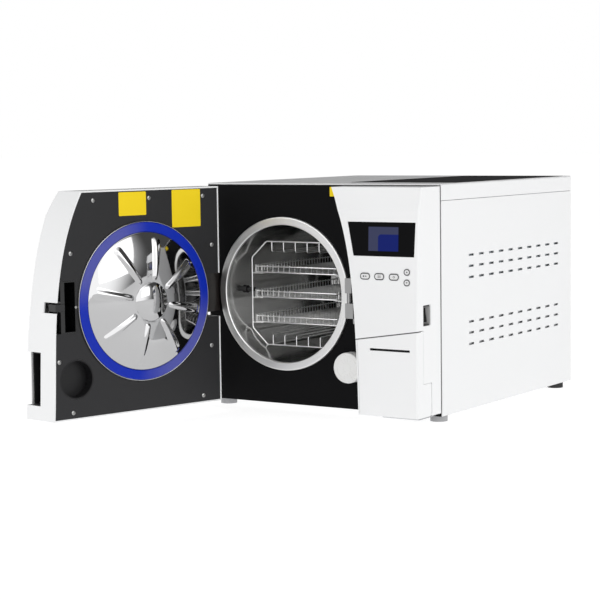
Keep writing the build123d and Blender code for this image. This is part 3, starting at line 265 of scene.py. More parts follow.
# %% [markdown]
# ## Metals
# Bare metal is judged by its reflections, so what matters is how they are broken up. Rolled sheet has
# streaks along one direction, which is a noise stretched along an axis. The chamber's flange is turned, so
# it has fine rings about the chamber's axis: a sine of the radius draws them without any mesh detail.

# %% Metals
CHAMBER_AXIS = (-0.0762, 0, 0.2103)
GROOVE, GROOVE_DEPTH = 0.0004, 0.000012


def metal(name, colour, roughness, stretch=(1, 1, 1), grain=700, depth=0.00001, drift=0.1):
    """A metal with a grain that may be stretched along an axis."""
    finish = Finish(name, colour, roughness, Metallic=1)
    streaks = finish.noise(grain, 4, finish.moved(scale=stretch))
    finish.set("Roughness", roughness + (streaks - 0.5) * drift + (finish.noise(12, 3) - 0.5) * drift)
    finish.bump(streaks, depth)


def turned_metal(name, colour, roughness):
    """A metal with fine rings about the chamber's axis."""
    finish = Finish(name, colour, roughness, Metallic=1)
    x, _, z = finish.split(finish.moved(shift=CHAMBER_AXIS))
    radius = (x * x + z * z) ** 0.5
    rings = (radius * (2 * math.pi / GROOVE)).maths("SINE")
    patches = finish.noise(40, 3)
    finish.set("Roughness", roughness + (patches - 0.5) * 0.12)
    finish.bump(rings * 0.5 + patches * 0.5, GROOVE_DEPTH)


metal("chamber_steel", (0.5, 0.5, 0.495), 0.17, stretch=(1, 12, 1), grain=160, depth=0.000003, drift=0.05)
turned_metal("flange_steel", (0.8, 0.8, 0.79), 0.38)
metal("wire_chrome", (0.94, 0.94, 0.935), 0.3, grain=500, depth=0.000003)
metal("keeper_steel", (0.34, 0.34, 0.34), 0.34, stretch=(6, 1, 1))
metal("screw_steel", (0.4, 0.4, 0.395), 0.3, grain=900)
metal("zinc_sheet", (0.5, 0.51, 0.52), 0.4, grain=60, drift=0.3)
metal("brass", (0.72, 0.5, 0.2), 0.25, grain=500)
metal("pump_alloy", (0.4, 0.41, 0.43), 0.5, grain=400, depth=0.00006)
metal("fin_aluminium", (0.75, 0.76, 0.77), 0.3, stretch=(1, 1, 10))
print("metals ready; finishes now", len(finishes))

# %% [markdown]
# The pressed dish is close to a mirror. A plain smooth metal would look computed, because a deep-drawn sheet
# is never quite true: long faint waves bend its reflections, and sparse hairlines dull it a little.

# %% Mirror steel
MIRROR_GLOSS, HAIRLINE_FROM, HAIRLINE_TO, WAVE_DEPTH = 0.045, 0.62, 0.8, 0.0002
mirror = Finish("mirror_steel", (0.5, 0.5, 0.505), 0.06, Metallic=1)
hairlines = mirror.noise(60, 6, mirror.moved(turn=(0.4, 0.2, 0.3), scale=(9, 1, 1)))
dulled = hairlines.step(HAIRLINE_FROM, HAIRLINE_TO) * 0.09
mirror.set("Roughness", MIRROR_GLOSS + dulled + (mirror.noise(18, 3) - 0.4) * 0.03)
mirror.bump(mirror.noise(14, 1) * 0.9 + hairlines * 0.1, WAVE_DEPTH)
print("mirror steel ready")

# %% [markdown]
# ## Silicone, felt and glass
# The door's seal is a deep blue silicone; where its painted sheen, a painted reflection, lies is worked out
# further on, once the door's place is known. The chamber wears a felt jacket, whose fibres are a very fine
# noise in two tones. The display is one black window over a small lit panel.

# %% Seal, felt and glass
FIBRE_SCALE, FIBRE_DEPTH = 900, 0.0004
seal = Finish("seal_rubber", (0.0, 0.021, 0.4), 0.45, Specular_IOR_Level=0.2)
felt = Finish("jacket_felt", (0.6, 0.58, 0.52), 0.95)
fibres = felt.noise(FIBRE_SCALE, 6)
felt.set("Base Color", felt.mix(fibres, (0.5, 0.48, 0.42), (0.68, 0.66, 0.6)))
felt.bump(fibres, FIBRE_DEPTH)
window = painted("window", (0.0035, 0.0035, 0.004), 0.12, peel=200, depth=0.000002, drift=0.03,
                 Specular_IOR_Level=0.05)
painted("lcd", (0.01, 0.03, 0.2), 0.2)
print("finishes now", len(finishes))

# %% [markdown]
# ## Putting the finishes on
# The record says which slot each node takes its finish from, and each node's own material slot is refilled.
# Three nodes look different from the rest of their slot, so they are given another finish. The switch is
# black in front and grey behind, and the front feet are paler than the rear ones. The nodes stay whole, so
# each of these is one finish that changes along the depth.

# %% Finishes that change along the depth
SWITCH_SPLIT, FEET_SPLIT = (-0.3005, -0.3), (-0.1, 0)


def split_by_depth(name, band, front):
    """Another colour in front of a band of the depth."""
    finish = finishes[name]
    _, depth, _ = finish.split(finish.place())
    finish.set("Base Color", finish.mix(depth.step(*band), front, finish.shade))


split_by_depth("switch_grey", SWITCH_SPLIT, (0.006, 0.006, 0.006))
split_by_depth("foot_rubber", FEET_SPLIT, (0.36, 0.36, 0.37))
print("switch and feet in two tones")

# %% Finishes on the nodes
SLOT_OF = {row["node"]: row["material_slot"] for row in frame["record"]["subparts"]}
SLOT_OF.update(switch_body="switch_grey", temperature_probe="bolt_plastic", panel_bracket="zinc_sheet")
for name, node in frame["nodes"].items():
    finish = finishes[SLOT_OF[name]].material
    if not node.material_slots:
        node.data.materials.append(finish)
    for place in node.material_slots:
        place.material = finish
print("finished nodes:", len(frame["nodes"]))

# %% [markdown]
# Round its back edge the panel meets the side cover across a narrow gap, the cover's rolled lip has a gap under
# it, and a seam runs above the flap. The shade in these gaps is painted: strips of mesh this thin would
# flicker, so the fine dark lines are painted shade, bands in the paint that follow those edges.

# %% Painted shade in the gaps
PANEL_BACK, LIP_FRONT, LIP_FOOT = -0.2624, -0.2605, 0.4056
SEAM_START, SEAM_RISE, SEAM_HALF, SEAM_LEAD = (0.1174, 0.1462), 0.1465, 0.0009, 0.003
SEAM_BACK, SEAM_SHARE = (-0.3305, -0.330), 0.8
CRISP, SOFT = 0.0002, 0.0003
cover = finishes["cover_paint"]
_, cover_y, cover_z = cover.split(cover.place())
# Painted shade: a dark band in the cover's paint, where the rolled lip shades the gap under it.
lip_shadow = (1 - cover_y.step(LIP_FRONT, LIP_FRONT + CRISP)) * (1 - cover_z.step(LIP_FOOT, LIP_FOOT + SOFT))
cover.set("Base Color", cover.mix(lip_shadow, cover.shade, (0.03, 0.03, 0.032)))
moulding = finishes["white_plastic"]
moulding_x, moulding_y, moulding_z = moulding.split(moulding.place())
# Painted shade: dark bands in the moulding's paint, in the gap behind the panel and along the seam above the
# flap.
panel_back_shade = moulding_y.step(PANEL_BACK, PANEL_BACK + CRISP)
off_seam = (moulding_z - SEAM_START[1] - (moulding_x - SEAM_START[0]) * SEAM_RISE).maths("ABSOLUTE")
seam_shade = (1 - off_seam.step(SEAM_HALF, SEAM_HALF + SOFT)) * moulding_x.step(SEAM_START[0] - SEAM_LEAD,
                                                                                SEAM_START[0])
seam_shade = seam_shade * (1 - moulding_y.step(*SEAM_BACK)) * SEAM_SHARE
gap_shade = panel_back_shade.maths("MAXIMUM", seam_shade)
moulding.set("Base Color", moulding.mix(gap_shade, moulding.shade, (0.02, 0.02, 0.022)))
print("dark edges painted")

# %% [markdown]
# ## The display
# The panel behind the black window is lit slate blue, with a rounded block of brighter blue in its lower
# right. It could be a lit plate behind clear glass, but black glass hides all but the light, so both are
# soft-edged rectangles of light in the window's own finish.

# %% Light in the window
LCD_X, LCD_Z, LCD_EDGE = (0.1455, 0.2035), (0.2975, 0.338), 0.0008
BLOCK_X, BLOCK_Z, BLOCK_CORNER, BLOCK_EDGE = 0.1642, 0.3255, 0.006, (0.005, 0.007)
SLATE, BRIGHT = (0.042, 0.048, 0.1), (0.004, 0.012, 0.135)
across, _, height = window.split(window.place())


def between(value, low, high):
    """One inside a band, falling to nothing over its edge."""
    return value.step(low - LCD_EDGE, low + LCD_EDGE) * (1 - value.step(high - LCD_EDGE, high + LCD_EDGE))


panel_mask = between(across, *LCD_X) * between(height, *LCD_Z)
short_of_side = (across - BLOCK_X - BLOCK_CORNER).maths("MINIMUM", 0)
short_of_top = (BLOCK_Z - BLOCK_CORNER - height).maths("MINIMUM", 0)
block_mask = 1 - ((short_of_side ** 2 + short_of_top ** 2) ** 0.5).step(*BLOCK_EDGE)
window.set("Emission Color", window.mix(panel_mask, (0, 0, 0), window.mix(block_mask, SLATE, BRIGHT)))
window.set("Emission Strength", 1.0)
print("display window lit")

# %% [markdown]
# ## Places on the object
# Things on the door are easiest to place on the closed door, facing the front. A turn about the hinge then
# takes them to the open door. Marks on the panel are given by how far across and how high they are, and the
# slope of its face gives the depth.

# %% Places on the door and the panel
FRONT = -0.258
DOOR_PLANE, PLATE_FACE = FRONT - 0.014, FRONT - 0.002
PIVOT, OPEN_ANGLE = Vector((-0.2275, FRONT - 0.0613, 0)), math.radians(-105.7)
DOOR_SWING = Matrix.Translation(PIVOT) @ Matrix.Rotation(OPEN_ANGLE, 4, "Z") @ Matrix.Translation(-PIVOT)
CREASE, SEAM = (0.366, 0.0745), (0.152, 0.0825)
SLOPE = math.atan2(SEAM[1] - CREASE[1], CREASE[0] - SEAM[0])


def on_door(x, z, stand=0.0):
    """A point of the closed door's inner face, where the open door has it."""
    return DOOR_SWING @ Vector((x, DOOR_PLANE + stand, z))


def on_panel(x, z, stand=0.0):
    """A point on the panel's upper face."""
    reach = CREASE[1] + (CREASE[0] - z) * math.tan(SLOPE)
    return Vector((x, FRONT - reach - stand * math.cos(SLOPE), z + stand * math.sin(SLOPE)))


def on_plate(x, z, stand=0.0):
    """A point on the front plate."""
    return Vector((x, PLATE_FACE - stand, z))


def on_back(x, z, stand=0.0):
    """A point on the rear panel."""
    return Vector((x, -FRONT + stand, z))


print("slope of the panel:", round(math.degrees(SLOPE), 2), "degrees")

# %% [markdown]
# The seal carries a painted sheen: a paler, rougher blue that stands in for its reflection, strongest on the
# upper outer side and the lower inner side. It could be painted by hand, but a formula is enough: its mask is
# the product of how far along the door and how high a point is, over its distance squared, with a slow noise to
# make it uneven.

# %% Painted sheen on the seal
DISH_CENTRE = (-0.0762, 0.2103)
SHEEN_EDGE, SHEEN_COLOUR = (-0.12, 0.4), (0.09, 0.1, 0.37)
seal_centre = on_door(*DISH_CENTRE)
door_across = DOOR_SWING.to_3x3() @ Vector((1, 0, 0))
from_x, from_y, from_z = seal.split(seal.moved(shift=seal_centre))
along = from_x * door_across.x + from_y * door_across.y
lobes = along * from_z / (along * along + from_z * from_z)
# Painted reflection: the paler blue in two lobes stands in for the seal's sheen.
painted_sheen = (lobes + (seal.noise(9, 3) - 0.5) * 0.5).step(*SHEEN_EDGE)
seal.set("Base Color", seal.mix(painted_sheen * 0.9, (0.0, 0.02, 0.4), SHEEN_COLOUR))
seal.set("Roughness", 0.36 + painted_sheen * 0.2)
seal.bump(seal.noise(500, 2), 0.00001)
print("seal bloom placed about", [round(value, 4) for value in seal_centre])

# %% [markdown]
# ## New pieces
# Each new piece is a mesh made in code, with its faces turned outwards, hung on the body that it moves with.
# One function does all of that, so that no piece is left behind when a joint moves.


# %% New pieces
def new_mesh(name, points, faces):
    mesh = bpy.data.meshes.new(name)
    mesh.from_pydata([tuple(point) for point in points], [], faces)
    mesh.validate()
    return mesh


def outward(mesh):
    """Merges doubles and turns every face outwards."""
    shape = bmesh.new()
    shape.from_mesh(mesh)
    bmesh.ops.remove_doubles(shape, verts=shape.verts, dist=1e-7)
    bmesh.ops.recalc_face_normals(shape, faces=shape.faces)
    shape.to_mesh(mesh)
    shape.free()
    return mesh


def joined(name, meshes):
    """Several meshes as one."""
    shape = bmesh.new()
    for mesh in meshes:
        shape.from_mesh(mesh)
    whole = bpy.data.meshes.new(name)
    shape.to_mesh(whole)
    shape.free()
    return whole


def new_piece(name, mesh, finish, body, smooth=None):
    """Hangs a finished mesh on a body. An angle shades it smooth up to that angle."""
    thing = bpy.data.objects.new(name, mesh)
    bpy.context.scene.collection.objects.link(thing)
    mesh.materials.clear()
    mesh.materials.append(finishes[finish].material)
    if smooth is not None:
        mesh.shade_smooth()
        mesh.set_sharp_from_angle(angle=math.radians(smooth))
    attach(thing, body)
    print("piece", name, len(mesh.polygons), "faces")
    return thing


print("helpers for new pieces ready")

# %% [markdown]
# ## Rows of wires
# Every tray and guard is bent wire: one shape copied along a line. An Array modifier would do for one row,
# but a Geometry Nodes tree rounds the corners of a path, copies it and gives it a round section in one go,
# so each row is only a few numbers.

# %% A small helper for node trees
class Tree:
    """A Geometry Nodes tree with named inputs."""

    def __init__(self, name, inputs):
        self.group = bpy.data.node_groups.new(name, "GeometryNodeTree")
        self.group.interface.new_socket("Geometry", in_out="INPUT", socket_type="NodeSocketGeometry")
        for label, kind in inputs.items():
            self.group.interface.new_socket(label, in_out="INPUT", socket_type="NodeSocket" + kind)
        self.group.interface.new_socket("Geometry", in_out="OUTPUT", socket_type="NodeSocketGeometry")
        self.source = self.group.nodes.new("NodeGroupInput").outputs

    def add(self, kind, settings=None, inputs=None, output=0):
        node = self.group.nodes.new(kind)
        for name, value in (settings or {}).items():
            setattr(node, name, value)
        for name, value in (inputs or {}).items():
            if isinstance(value, bpy.types.NodeSocket):
                self.group.links.new(value, node.inputs[name])
            else:
                node.inputs[name].default_value = value
        return node.outputs[output]

    def end(self, geometry):
        """Real meshes with a finish leave the tree."""
        real = self.add("GeometryNodeRealizeInstances", None, {"Geometry": geometry})
        done = self.add("GeometryNodeSetMaterial", None, {"Geometry": real, "Material": self.source["Finish"]})
        self.group.links.new(done, self.group.nodes.new("NodeGroupOutput").inputs[0])
        print("tree", self.group.name, len(self.group.nodes), "nodes")

    def bake(self, name, mesh, values):
        """The tree's result on a mesh, as a plain mesh."""
        thing = bpy.data.objects.new(name, mesh)
        bpy.context.scene.collection.objects.link(thing)
        modifier = thing.modifiers.new(name, "NODES")
        modifier.node_group = self.group
        for item in self.group.interface.items_tree:
            if item.in_out == "INPUT" and item.name in values:
                modifier[item.identifier] = values[item.name]
        bpy.context.view_layer.update()
        baked = bpy.data.meshes.new_from_object(thing.evaluated_get(bpy.context.evaluated_depsgraph_get()))
        bpy.data.objects.remove(thing)
        return baked


print("helper for node trees ready")

# %% The tree for wires
wires = Tree("rows_of_wire", {"Wire Radius": "Float", "Bend Radius": "Float", "Copies": "Int",
                              "Step": "Vector", "Sides": "Int", "Finish": "Material"})
CORNER_STEPS = 3
path = wires.add("GeometryNodeMeshToCurve", None, {"Mesh": wires.source["Geometry"]})
path = wires.add("GeometryNodeFilletCurve", {"mode": "POLY"},
                 {"Curve": path, "Count": CORNER_STEPS, "Radius": wires.source["Bend Radius"],
                  "Limit Radius": True})
row = wires.add("GeometryNodeMeshLine", {"mode": "OFFSET"},
                {"Count": wires.source["Copies"], "Offset": wires.source["Step"]})
copies = wires.add("GeometryNodeInstanceOnPoints", None, {"Points": row, "Instance": path})
copies = wires.add("GeometryNodeRealizeInstances", None, {"Geometry": copies})
section = wires.add("GeometryNodeCurvePrimitiveCircle", None,
                    {"Resolution": wires.source["Sides"], "Radius": wires.source["Wire Radius"]})
tubes = wires.add("GeometryNodeCurveToMesh", None,
                  {"Curve": copies, "Profile Curve": section, "Fill Caps": True})
wires.end(wires.add("GeometryNodeSetShadeSmooth", None, {"Geometry": tubes}))


def wire_row(points, radius, bend=0.002, copies=1, step=(0, 0, 0), sides=6, closed=False):
    """One bent wire, copied along a line."""
    count = len(points)
    edges = [(index, (index + 1) % count) for index in range(count if closed else count - 1)]
    mesh = bpy.data.meshes.new("path")
    mesh.from_pydata([tuple(point) for point in points], edges, [])
    values = {"Wire Radius": radius, "Bend Radius": bend, "Copies": copies, "Step": step, "Sides": sides,
              "Finish": finishes["wire_chrome"].material}
    return wires.bake("wire", mesh, values)


# %% [markdown]
# ## Trays
# A tray is a basket: fine wires run both ways across its floor and up its four sides, and heavier wires edge
# it above and below. The solids have plain perforated trays of the same size. Their boxes give the wires
# their place, so the basket fills the same space and slides in the same rails.

# %% Wire trays
FINE_WIRE, EDGE_WIRE, EDGE_BEND = 0.0008, 0.0012, 0.006
ACROSS_PITCH, ALONG_PITCH, WIRE_TIP = 0.0094, 0.0118, 0.0024
FINE_SIDES, EDGE_SIDES = 5, 8


def tray_wires(node):
    """The four rows and rings of wire that make a tray inside a node's box."""
    low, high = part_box(node)
    left, right = low.x + EDGE_WIRE, high.x - EDGE_WIRE
    near, far = low.y + EDGE_WIRE, high.y - EDGE_WIRE
    top, floor_z = high.z - EDGE_WIRE, low.z + EDGE_WIRE
    across_count = round((far - near) / ACROSS_PITCH)
    along_count = round((right - left) / ALONG_PITCH)
    step_y, step_x = (far - near) / across_count, (right - left) / along_count
    first_y, first_x, upper_floor = near + step_y / 2, left + step_x / 2, floor_z + FINE_WIRE
    across_wire = [(left, first_y, top), (left, first_y, floor_z), (right, first_y, floor_z),
                   (right, first_y, top)]
    along_wire = [(first_x, near, top), (first_x, near, upper_floor), (first_x, far, upper_floor),
                  (first_x, far, top)]
    meshes = [
        wire_row(across_wire, FINE_WIRE, copies=across_count, step=(0, step_y, 0), sides=FINE_SIDES),
        wire_row(along_wire, FINE_WIRE, copies=along_count, step=(step_x, 0, 0), sides=FINE_SIDES),
    ]
    for level in (top - WIRE_TIP, floor_z):
        edge = [(left, near, level), (right, near, level), (right, far, level), (left, far, level)]
        meshes.append(wire_row(edge, EDGE_WIRE, bend=EDGE_BEND, sides=EDGE_SIDES, closed=True))
    return joined(node + "_wires", meshes)


for node in ("tray_lower", "tray_middle", "tray_upper"):
    basket = new_piece(node + "_wires", tray_wires(node), "wire_chrome", node, smooth=60)
    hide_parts(node)

# %% [markdown]
# ## The pressed dish
# The door's face to the chamber is a deep-drawn sheet: a channel for the seal, a gently bowed face, eight
# beads that stiffen it and a dome over its mounting. It could be sculpted, but all of it follows a rule in
# radius and angle, so the mesh is a polar grid whose height is a formula, and stays easy to correct.

# %% Dish formula
RIM, CHANNEL_OUT, CHANNEL_IN = 0.1384, 0.1372, 0.1198
SHEET, FACE_BASE, BOW_POWER = 0.0016, 0.005, 2.1
DOME_RADIUS, DOME_BASE, DOME_TOP, DOME_POWER = 0.034, 0.0212, 0.030, 0.62
BEADS, BEAD_IN, BEAD_OUT = 8, 0.044, 0.108
BEAD_HALF, BEAD_HIGH = (0.0056, 0.0102), (0.0046, 0.0026)
BEAD_TURN = math.radians(11)


def bow(radius):
    """Height of the bowed face between the channel wall and the dome."""
    share = (CHANNEL_IN - radius) / (CHANNEL_IN - DOME_RADIUS)
    return FACE_BASE + (DOME_BASE - FACE_BASE) * (1 - (1 - share) ** BOW_POWER)


def dome(radius):
    """Height of the dome in the middle."""
    return DOME_BASE + (DOME_TOP - DOME_BASE) * (1 - (radius / DOME_RADIUS) ** 2) ** DOME_POWER


def bead(radius, angle):
    """Extra height on the nearest of the radial beads, which widen and flatten outwards."""
    pitch = 2 * math.pi / BEADS
    turn = (angle + pitch / 2) % pitch - pitch / 2
    along, aside = radius * math.cos(turn), radius * math.sin(turn)
    past = along - min(max(along, BEAD_IN), BEAD_OUT)
    run = min(max((along - BEAD_IN) / (BEAD_OUT - BEAD_IN), 0), 1)
    half, high = (first + (last - first) * run for first, last in (BEAD_HALF, BEAD_HIGH))
    share = min(math.hypot(aside / half, past / BEAD_HALF[0]), 1)
    return high * (0.5 + 0.5 * math.cos(math.pi * share))


print("dish: dome", DOME_TOP, "m high,", BEADS, "beads")

# %% Dish mesh
TURNS, FACE_RINGS = 400, 52
DOME_SHARES = (0.12, 0.3, 0.48, 0.64, 0.77, 0.87, 0.94, 0.98, 1)
ROUND, RIM_FACE, CHANNEL_FLOOR, BACK_FACE = 0.0002, 0.004, -0.0015, -0.0031


def dish_profile():
    """Radius and height from the middle out over the rim and back behind the sheet."""
    inner = [(DOME_RADIUS * share, None) for share in DOME_SHARES]
    face = [(DOME_RADIUS + (CHANNEL_IN - DOME_RADIUS) * step / FACE_RINGS, None)
            for step in range(1, FACE_RINGS)]
    outer = [
        (CHANNEL_IN - 0.0003, 0.0048), (CHANNEL_IN, 0.0044), (CHANNEL_IN, CHANNEL_FLOOR + ROUND),
        (CHANNEL_IN + ROUND, CHANNEL_FLOOR), (CHANNEL_OUT, CHANNEL_FLOOR), (CHANNEL_OUT, RIM_FACE - ROUND),
        (CHANNEL_OUT + ROUND, RIM_FACE), (RIM - ROUND, RIM_FACE), (RIM, RIM_FACE - ROUND), (RIM, BACK_FACE),
        (CHANNEL_IN - SHEET, BACK_FACE), (CHANNEL_IN - SHEET, FACE_BASE - SHEET),
    ]
    return inner + face + outer


def dish_mesh():
    centre_x, centre_z = DISH_CENTRE
    points = [on_door(centre_x, centre_z, DOME_TOP)]
    profile = dish_profile()
    for radius, stand in profile:
        for turn in range(TURNS):
            angle = 2 * math.pi * turn / TURNS
            height = stand
            if stand is None:
                smooth_face = dome(radius) if radius <= DOME_RADIUS else bow(radius)
                height = smooth_face + bead(radius, angle + BEAD_TURN)
            x, z = centre_x + radius * math.sin(angle), centre_z + radius * math.cos(angle)
            points.append(on_door(x, z, height))
    points.append(on_door(centre_x, centre_z, DOME_BASE - 2 * SHEET))
    last = len(points) - 1
    faces = []
    for turn in range(TURNS):
        ahead = (turn + 1) % TURNS
        faces.append((0, 1 + ahead, 1 + turn))
        for ring in range(len(profile) - 1):
            base = 1 + ring * TURNS
            faces.append((base + turn, base + ahead, base + TURNS + ahead, base + TURNS + turn))
        base = 1 + (len(profile) - 1) * TURNS
        faces.append((base + turn, base + ahead, last))
    return outward(new_mesh("dish_skin", points, faces))


dish = new_piece("dish_skin", dish_mesh(), "mirror_steel", "door", smooth=50)
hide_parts("pressure_dish")

# %% [markdown]
# ## Screws
# The door's plate is held by pan heads with a cross recess. One head is modelled, and a tree puts it on a
# list of points, turned to face the right way. Copies that all line up would look like a stamp, so each
# screw is stopped at its own angle, as a fitter would leave it, from a fixed seed.

# %% One screw head
HEAD_RADIUS, HEAD_HEIGHT, CROSS_HALF, CROSS_DEPTH, CROSS_REACH = 0.0038, 0.0016, 0.0007, 0.0011, 0.6
HEAD_RINGS, HEAD_TURNS = 9, 32


def screw_head():
    """A crowned head with a cross recess, closed below."""
    around = [(math.cos(2 * math.pi * turn / HEAD_TURNS), math.sin(2 * math.pi * turn / HEAD_TURNS))
              for turn in range(HEAD_TURNS)]
    points, faces = [(0, 0, HEAD_HEIGHT - CROSS_DEPTH)], []
    for ring in range(1, HEAD_RINGS + 1):
        share = ring / HEAD_RINGS
        for across, up in around:
            x, y = HEAD_RADIUS * share * across, HEAD_RADIUS * share * up
            crown = HEAD_HEIGHT * (1 - 0.75 * share ** 4)
            in_cross = min(abs(x), abs(y)) < CROSS_HALF and share < CROSS_REACH
            points.append((x, y, crown - CROSS_DEPTH if in_cross else crown))
    points += [(HEAD_RADIUS * across, HEAD_RADIUS * up, 0) for across, up in around]
    for turn in range(HEAD_TURNS):
        ahead = (turn + 1) % HEAD_TURNS
        faces.append((0, 1 + turn, 1 + ahead))
        for ring in range(HEAD_RINGS):
            base = 1 + ring * HEAD_TURNS
            faces.append((base + turn, base + HEAD_TURNS + turn, base + HEAD_TURNS + ahead, base + ahead))
    faces.append(tuple(range(1 + HEAD_RINGS * HEAD_TURNS, 1 + (HEAD_RINGS + 1) * HEAD_TURNS))[::-1])
    return new_mesh("screw_head", points, faces)


print("screw heads:", round(2000 * HEAD_RADIUS, 1), "mm across")

# %% The tree for screws
screws = Tree("screws_on_points", {"Head": "Object", "Facing": "Rotation", "Seed": "Int", "Finish": "Material"})
OBJECT_GEOMETRY = 4
head_shape = screws.add("GeometryNodeObjectInfo", None, {"Object": screws.source["Head"]},
                        output=OBJECT_GEOMETRY)
spots = screws.add("GeometryNodeMeshToPoints", None, {"Mesh": screws.source["Geometry"]})
own_angle = screws.add("FunctionNodeRandomValue", {"data_type": "FLOAT_VECTOR"},
                       {"Max": (0, 0, math.tau), "Seed": screws.source["Seed"]})
set_down = screws.add("GeometryNodeInstanceOnPoints", None,
                      {"Points": spots, "Instance": head_shape, "Rotation": screws.source["Facing"]})
set_down = screws.add("GeometryNodeRotateInstances", None, {"Instances": set_down, "Rotation": own_angle})
screws.end(set_down)
master = bpy.data.objects.new("screw_master", screw_head())
bpy.context.scene.collection.objects.link(master)


def screw_set(name, points, facing, body, seed):
    """Screw heads at points, facing a direction."""
    mesh = bpy.data.meshes.new("spots")
    mesh.from_pydata([tuple(point) for point in points], [], [])
    turn = Vector(facing).to_track_quat("Z", "Y").to_euler()
    values = {"Head": master, "Facing": turn, "Seed": seed, "Finish": finishes["screw_steel"].material}
    return new_piece(name, screws.bake(name, mesh, values), "screw_steel", body, smooth=35)


# %% Door and cabinet screws
DOOR_SCREWS = [(0.0256, 0.3877), (-0.0911, 0.3882), (-0.2086, 0.3880), (0.0736, 0.3003), (-0.2269, 0.3004),
               (-0.2228, 0.1202), (0.1012, 0.1192), (-0.2026, 0.0317), (0.0754, 0.0309)]
REAR_EDGE, REAR_INNER, REAR_ROWS, REAR_SIDE_ROWS = 0.232, 0.08, (0.022, 0.368), (0.14, 0.255)
DOOR_SEED, REAR_SEED = 3, 5
door_normal = DOOR_SWING.to_3x3() @ Vector((0, 1, 0))
door_heads = screw_set("door_screw_heads", [on_door(x, z) for x, z in DOOR_SCREWS], door_normal, "door",
                       DOOR_SEED)
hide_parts("door_screws")
rear_points = [on_back(x, z) for x in (-REAR_EDGE, -REAR_INNER, REAR_INNER, REAR_EDGE) for z in REAR_ROWS]
rear_points += [on_back(x, z) for x in (-REAR_EDGE, REAR_EDGE) for z in REAR_SIDE_ROWS]
screw_set("rear_screw_heads", rear_points, (0, 1, 0), "cabinet", REAR_SEED)
bpy.data.objects.remove(master)

# %% [markdown]
# ## Labels, marks and guards
# Stickers, printed rings and symbols are thin flat shapes that lie on a surface. They could be painted with
# masks, but a thin mesh keeps a crisp edge at any distance. One function lifts an outline off a face, and
# one gives a rounded rectangle, so each mark is a line of numbers.


# %% Flat shapes
def rounded(x, z, width, height, radius, steps=6):
    """A rounded rectangle about a point, as x and z pairs."""
    points = []
    for corner, (side, lift) in enumerate(((1, 1), (-1, 1), (-1, -1), (1, -1))):
        for step in range(steps + 1):
            angle = math.pi / 2 * (corner + step / steps)
            points.append((x + side * (width / 2 - radius) + radius * math.cos(angle),
                           z + lift * (height / 2 - radius) + radius * math.sin(angle)))
    return points


def disc(x, z, radius, steps=32):
    """A circle about a point, as x and z pairs."""
    turns = (2 * math.pi * step / steps for step in range(steps))
    return [(x + radius * math.cos(turn), z + radius * math.sin(turn)) for turn in turns]


def raised(name, shapes, put, low, high):
    """Flat shapes lifted off a face. Each is an outline, or an outer and an inner one with equal counts."""
    points, faces = [], []
    for shape in shapes:
        outer, inner = shape if isinstance(shape, tuple) else (shape, None)
        count, base = len(outer), len(points)
        rows = [(outer, low), (outer, high)] + ([(inner, high), (inner, low)] if inner else [])
        for outline, level in rows:
            points += [put(x, z, level) for x, z in outline]
        for row in range(len(rows) if inner else 1):
            this, after = base + row * count, base + (row + 1) % len(rows) * count
            faces += [(this + turn, this + (turn + 1) % count, after + (turn + 1) % count, after + turn)
                      for turn in range(count)]
        if not inner:
            faces += [tuple(range(base, base + count)), tuple(range(base + count, base + 2 * count))]
    return outward(new_mesh(name, points, faces))


print("helpers for flat shapes ready")

# %% [markdown]
# The door and the front plate carry yellow stickers and the back has a metal rating plate. All of them
# stay blank here, but each keeps its place, its thickness and its finish.

# %% Blank stickers
STICKER, RATING = 0.0002, 0.0004
on_the_door = [rounded(-0.05550, 0.37945, 0.0576, 0.0405, 0.0018),
               rounded(-0.17115, 0.36755, 0.0627, 0.0657, 0.0018)]
on_the_plate = [rounded(0.0375, 0.3935, 0.03, 0.0165, 0.001)]
on_the_back = [rounded(-0.125, 0.15, 0.07, 0.045, 0.002)]
new_piece("door_stickers", raised("door_stickers", on_the_door, on_door, 0, STICKER), "label_vinyl", "door")
new_piece("plate_sticker", raised("plate_sticker", on_the_plate, on_plate, 0, STICKER), "label_vinyl",
          "cabinet")
new_piece("rating_plate", raised("rating_plate", on_the_back, on_back, 0, RATING), "fin_aluminium",
          "cabinet")

# %% [markdown]
# Each button cap carries a printed ring near its edge and a small plain symbol. They ride on the button, so
# they go in with it when it is pressed. Their sizes leave room to the edge of the hole in the panel.

# %% Rings and symbols on the buttons
CAP_STAND, INK_LOW, INK_HIGH = 0.0008, 0.0001, 0.00006
PILL, ARROW = (0.0192, 0.0113, 0.0052), (0.0118, 0.0108, 0.0050)
RING_WIDTH = 0.0016
START_X, MENU_X, ENTER_X, PILL_Z = 0.1399, 0.1676, 0.1961, 0.2546
ARROW_X, UP_Z, DOWN_Z = 0.2210, 0.2634, 0.2458


def cap_ring(x, z, width, height, radius):
    """The printed ring of a cap, as its outer and its inner outline."""
    inner = rounded(x, z, width - 2 * RING_WIDTH, height - 2 * RING_WIDTH, radius - RING_WIDTH)
    return (rounded(x, z, width, height, radius), inner)


def bar(x, z, width, height):
    """A small printed bar."""
    return rounded(x, z, width, height, min(width, height) * 0.2, steps=2)


def triangle(x, z, *corners):
    """A printed triangle, its corners as steps from a point."""
    return [(x + across, z + up) for across, up in corners]


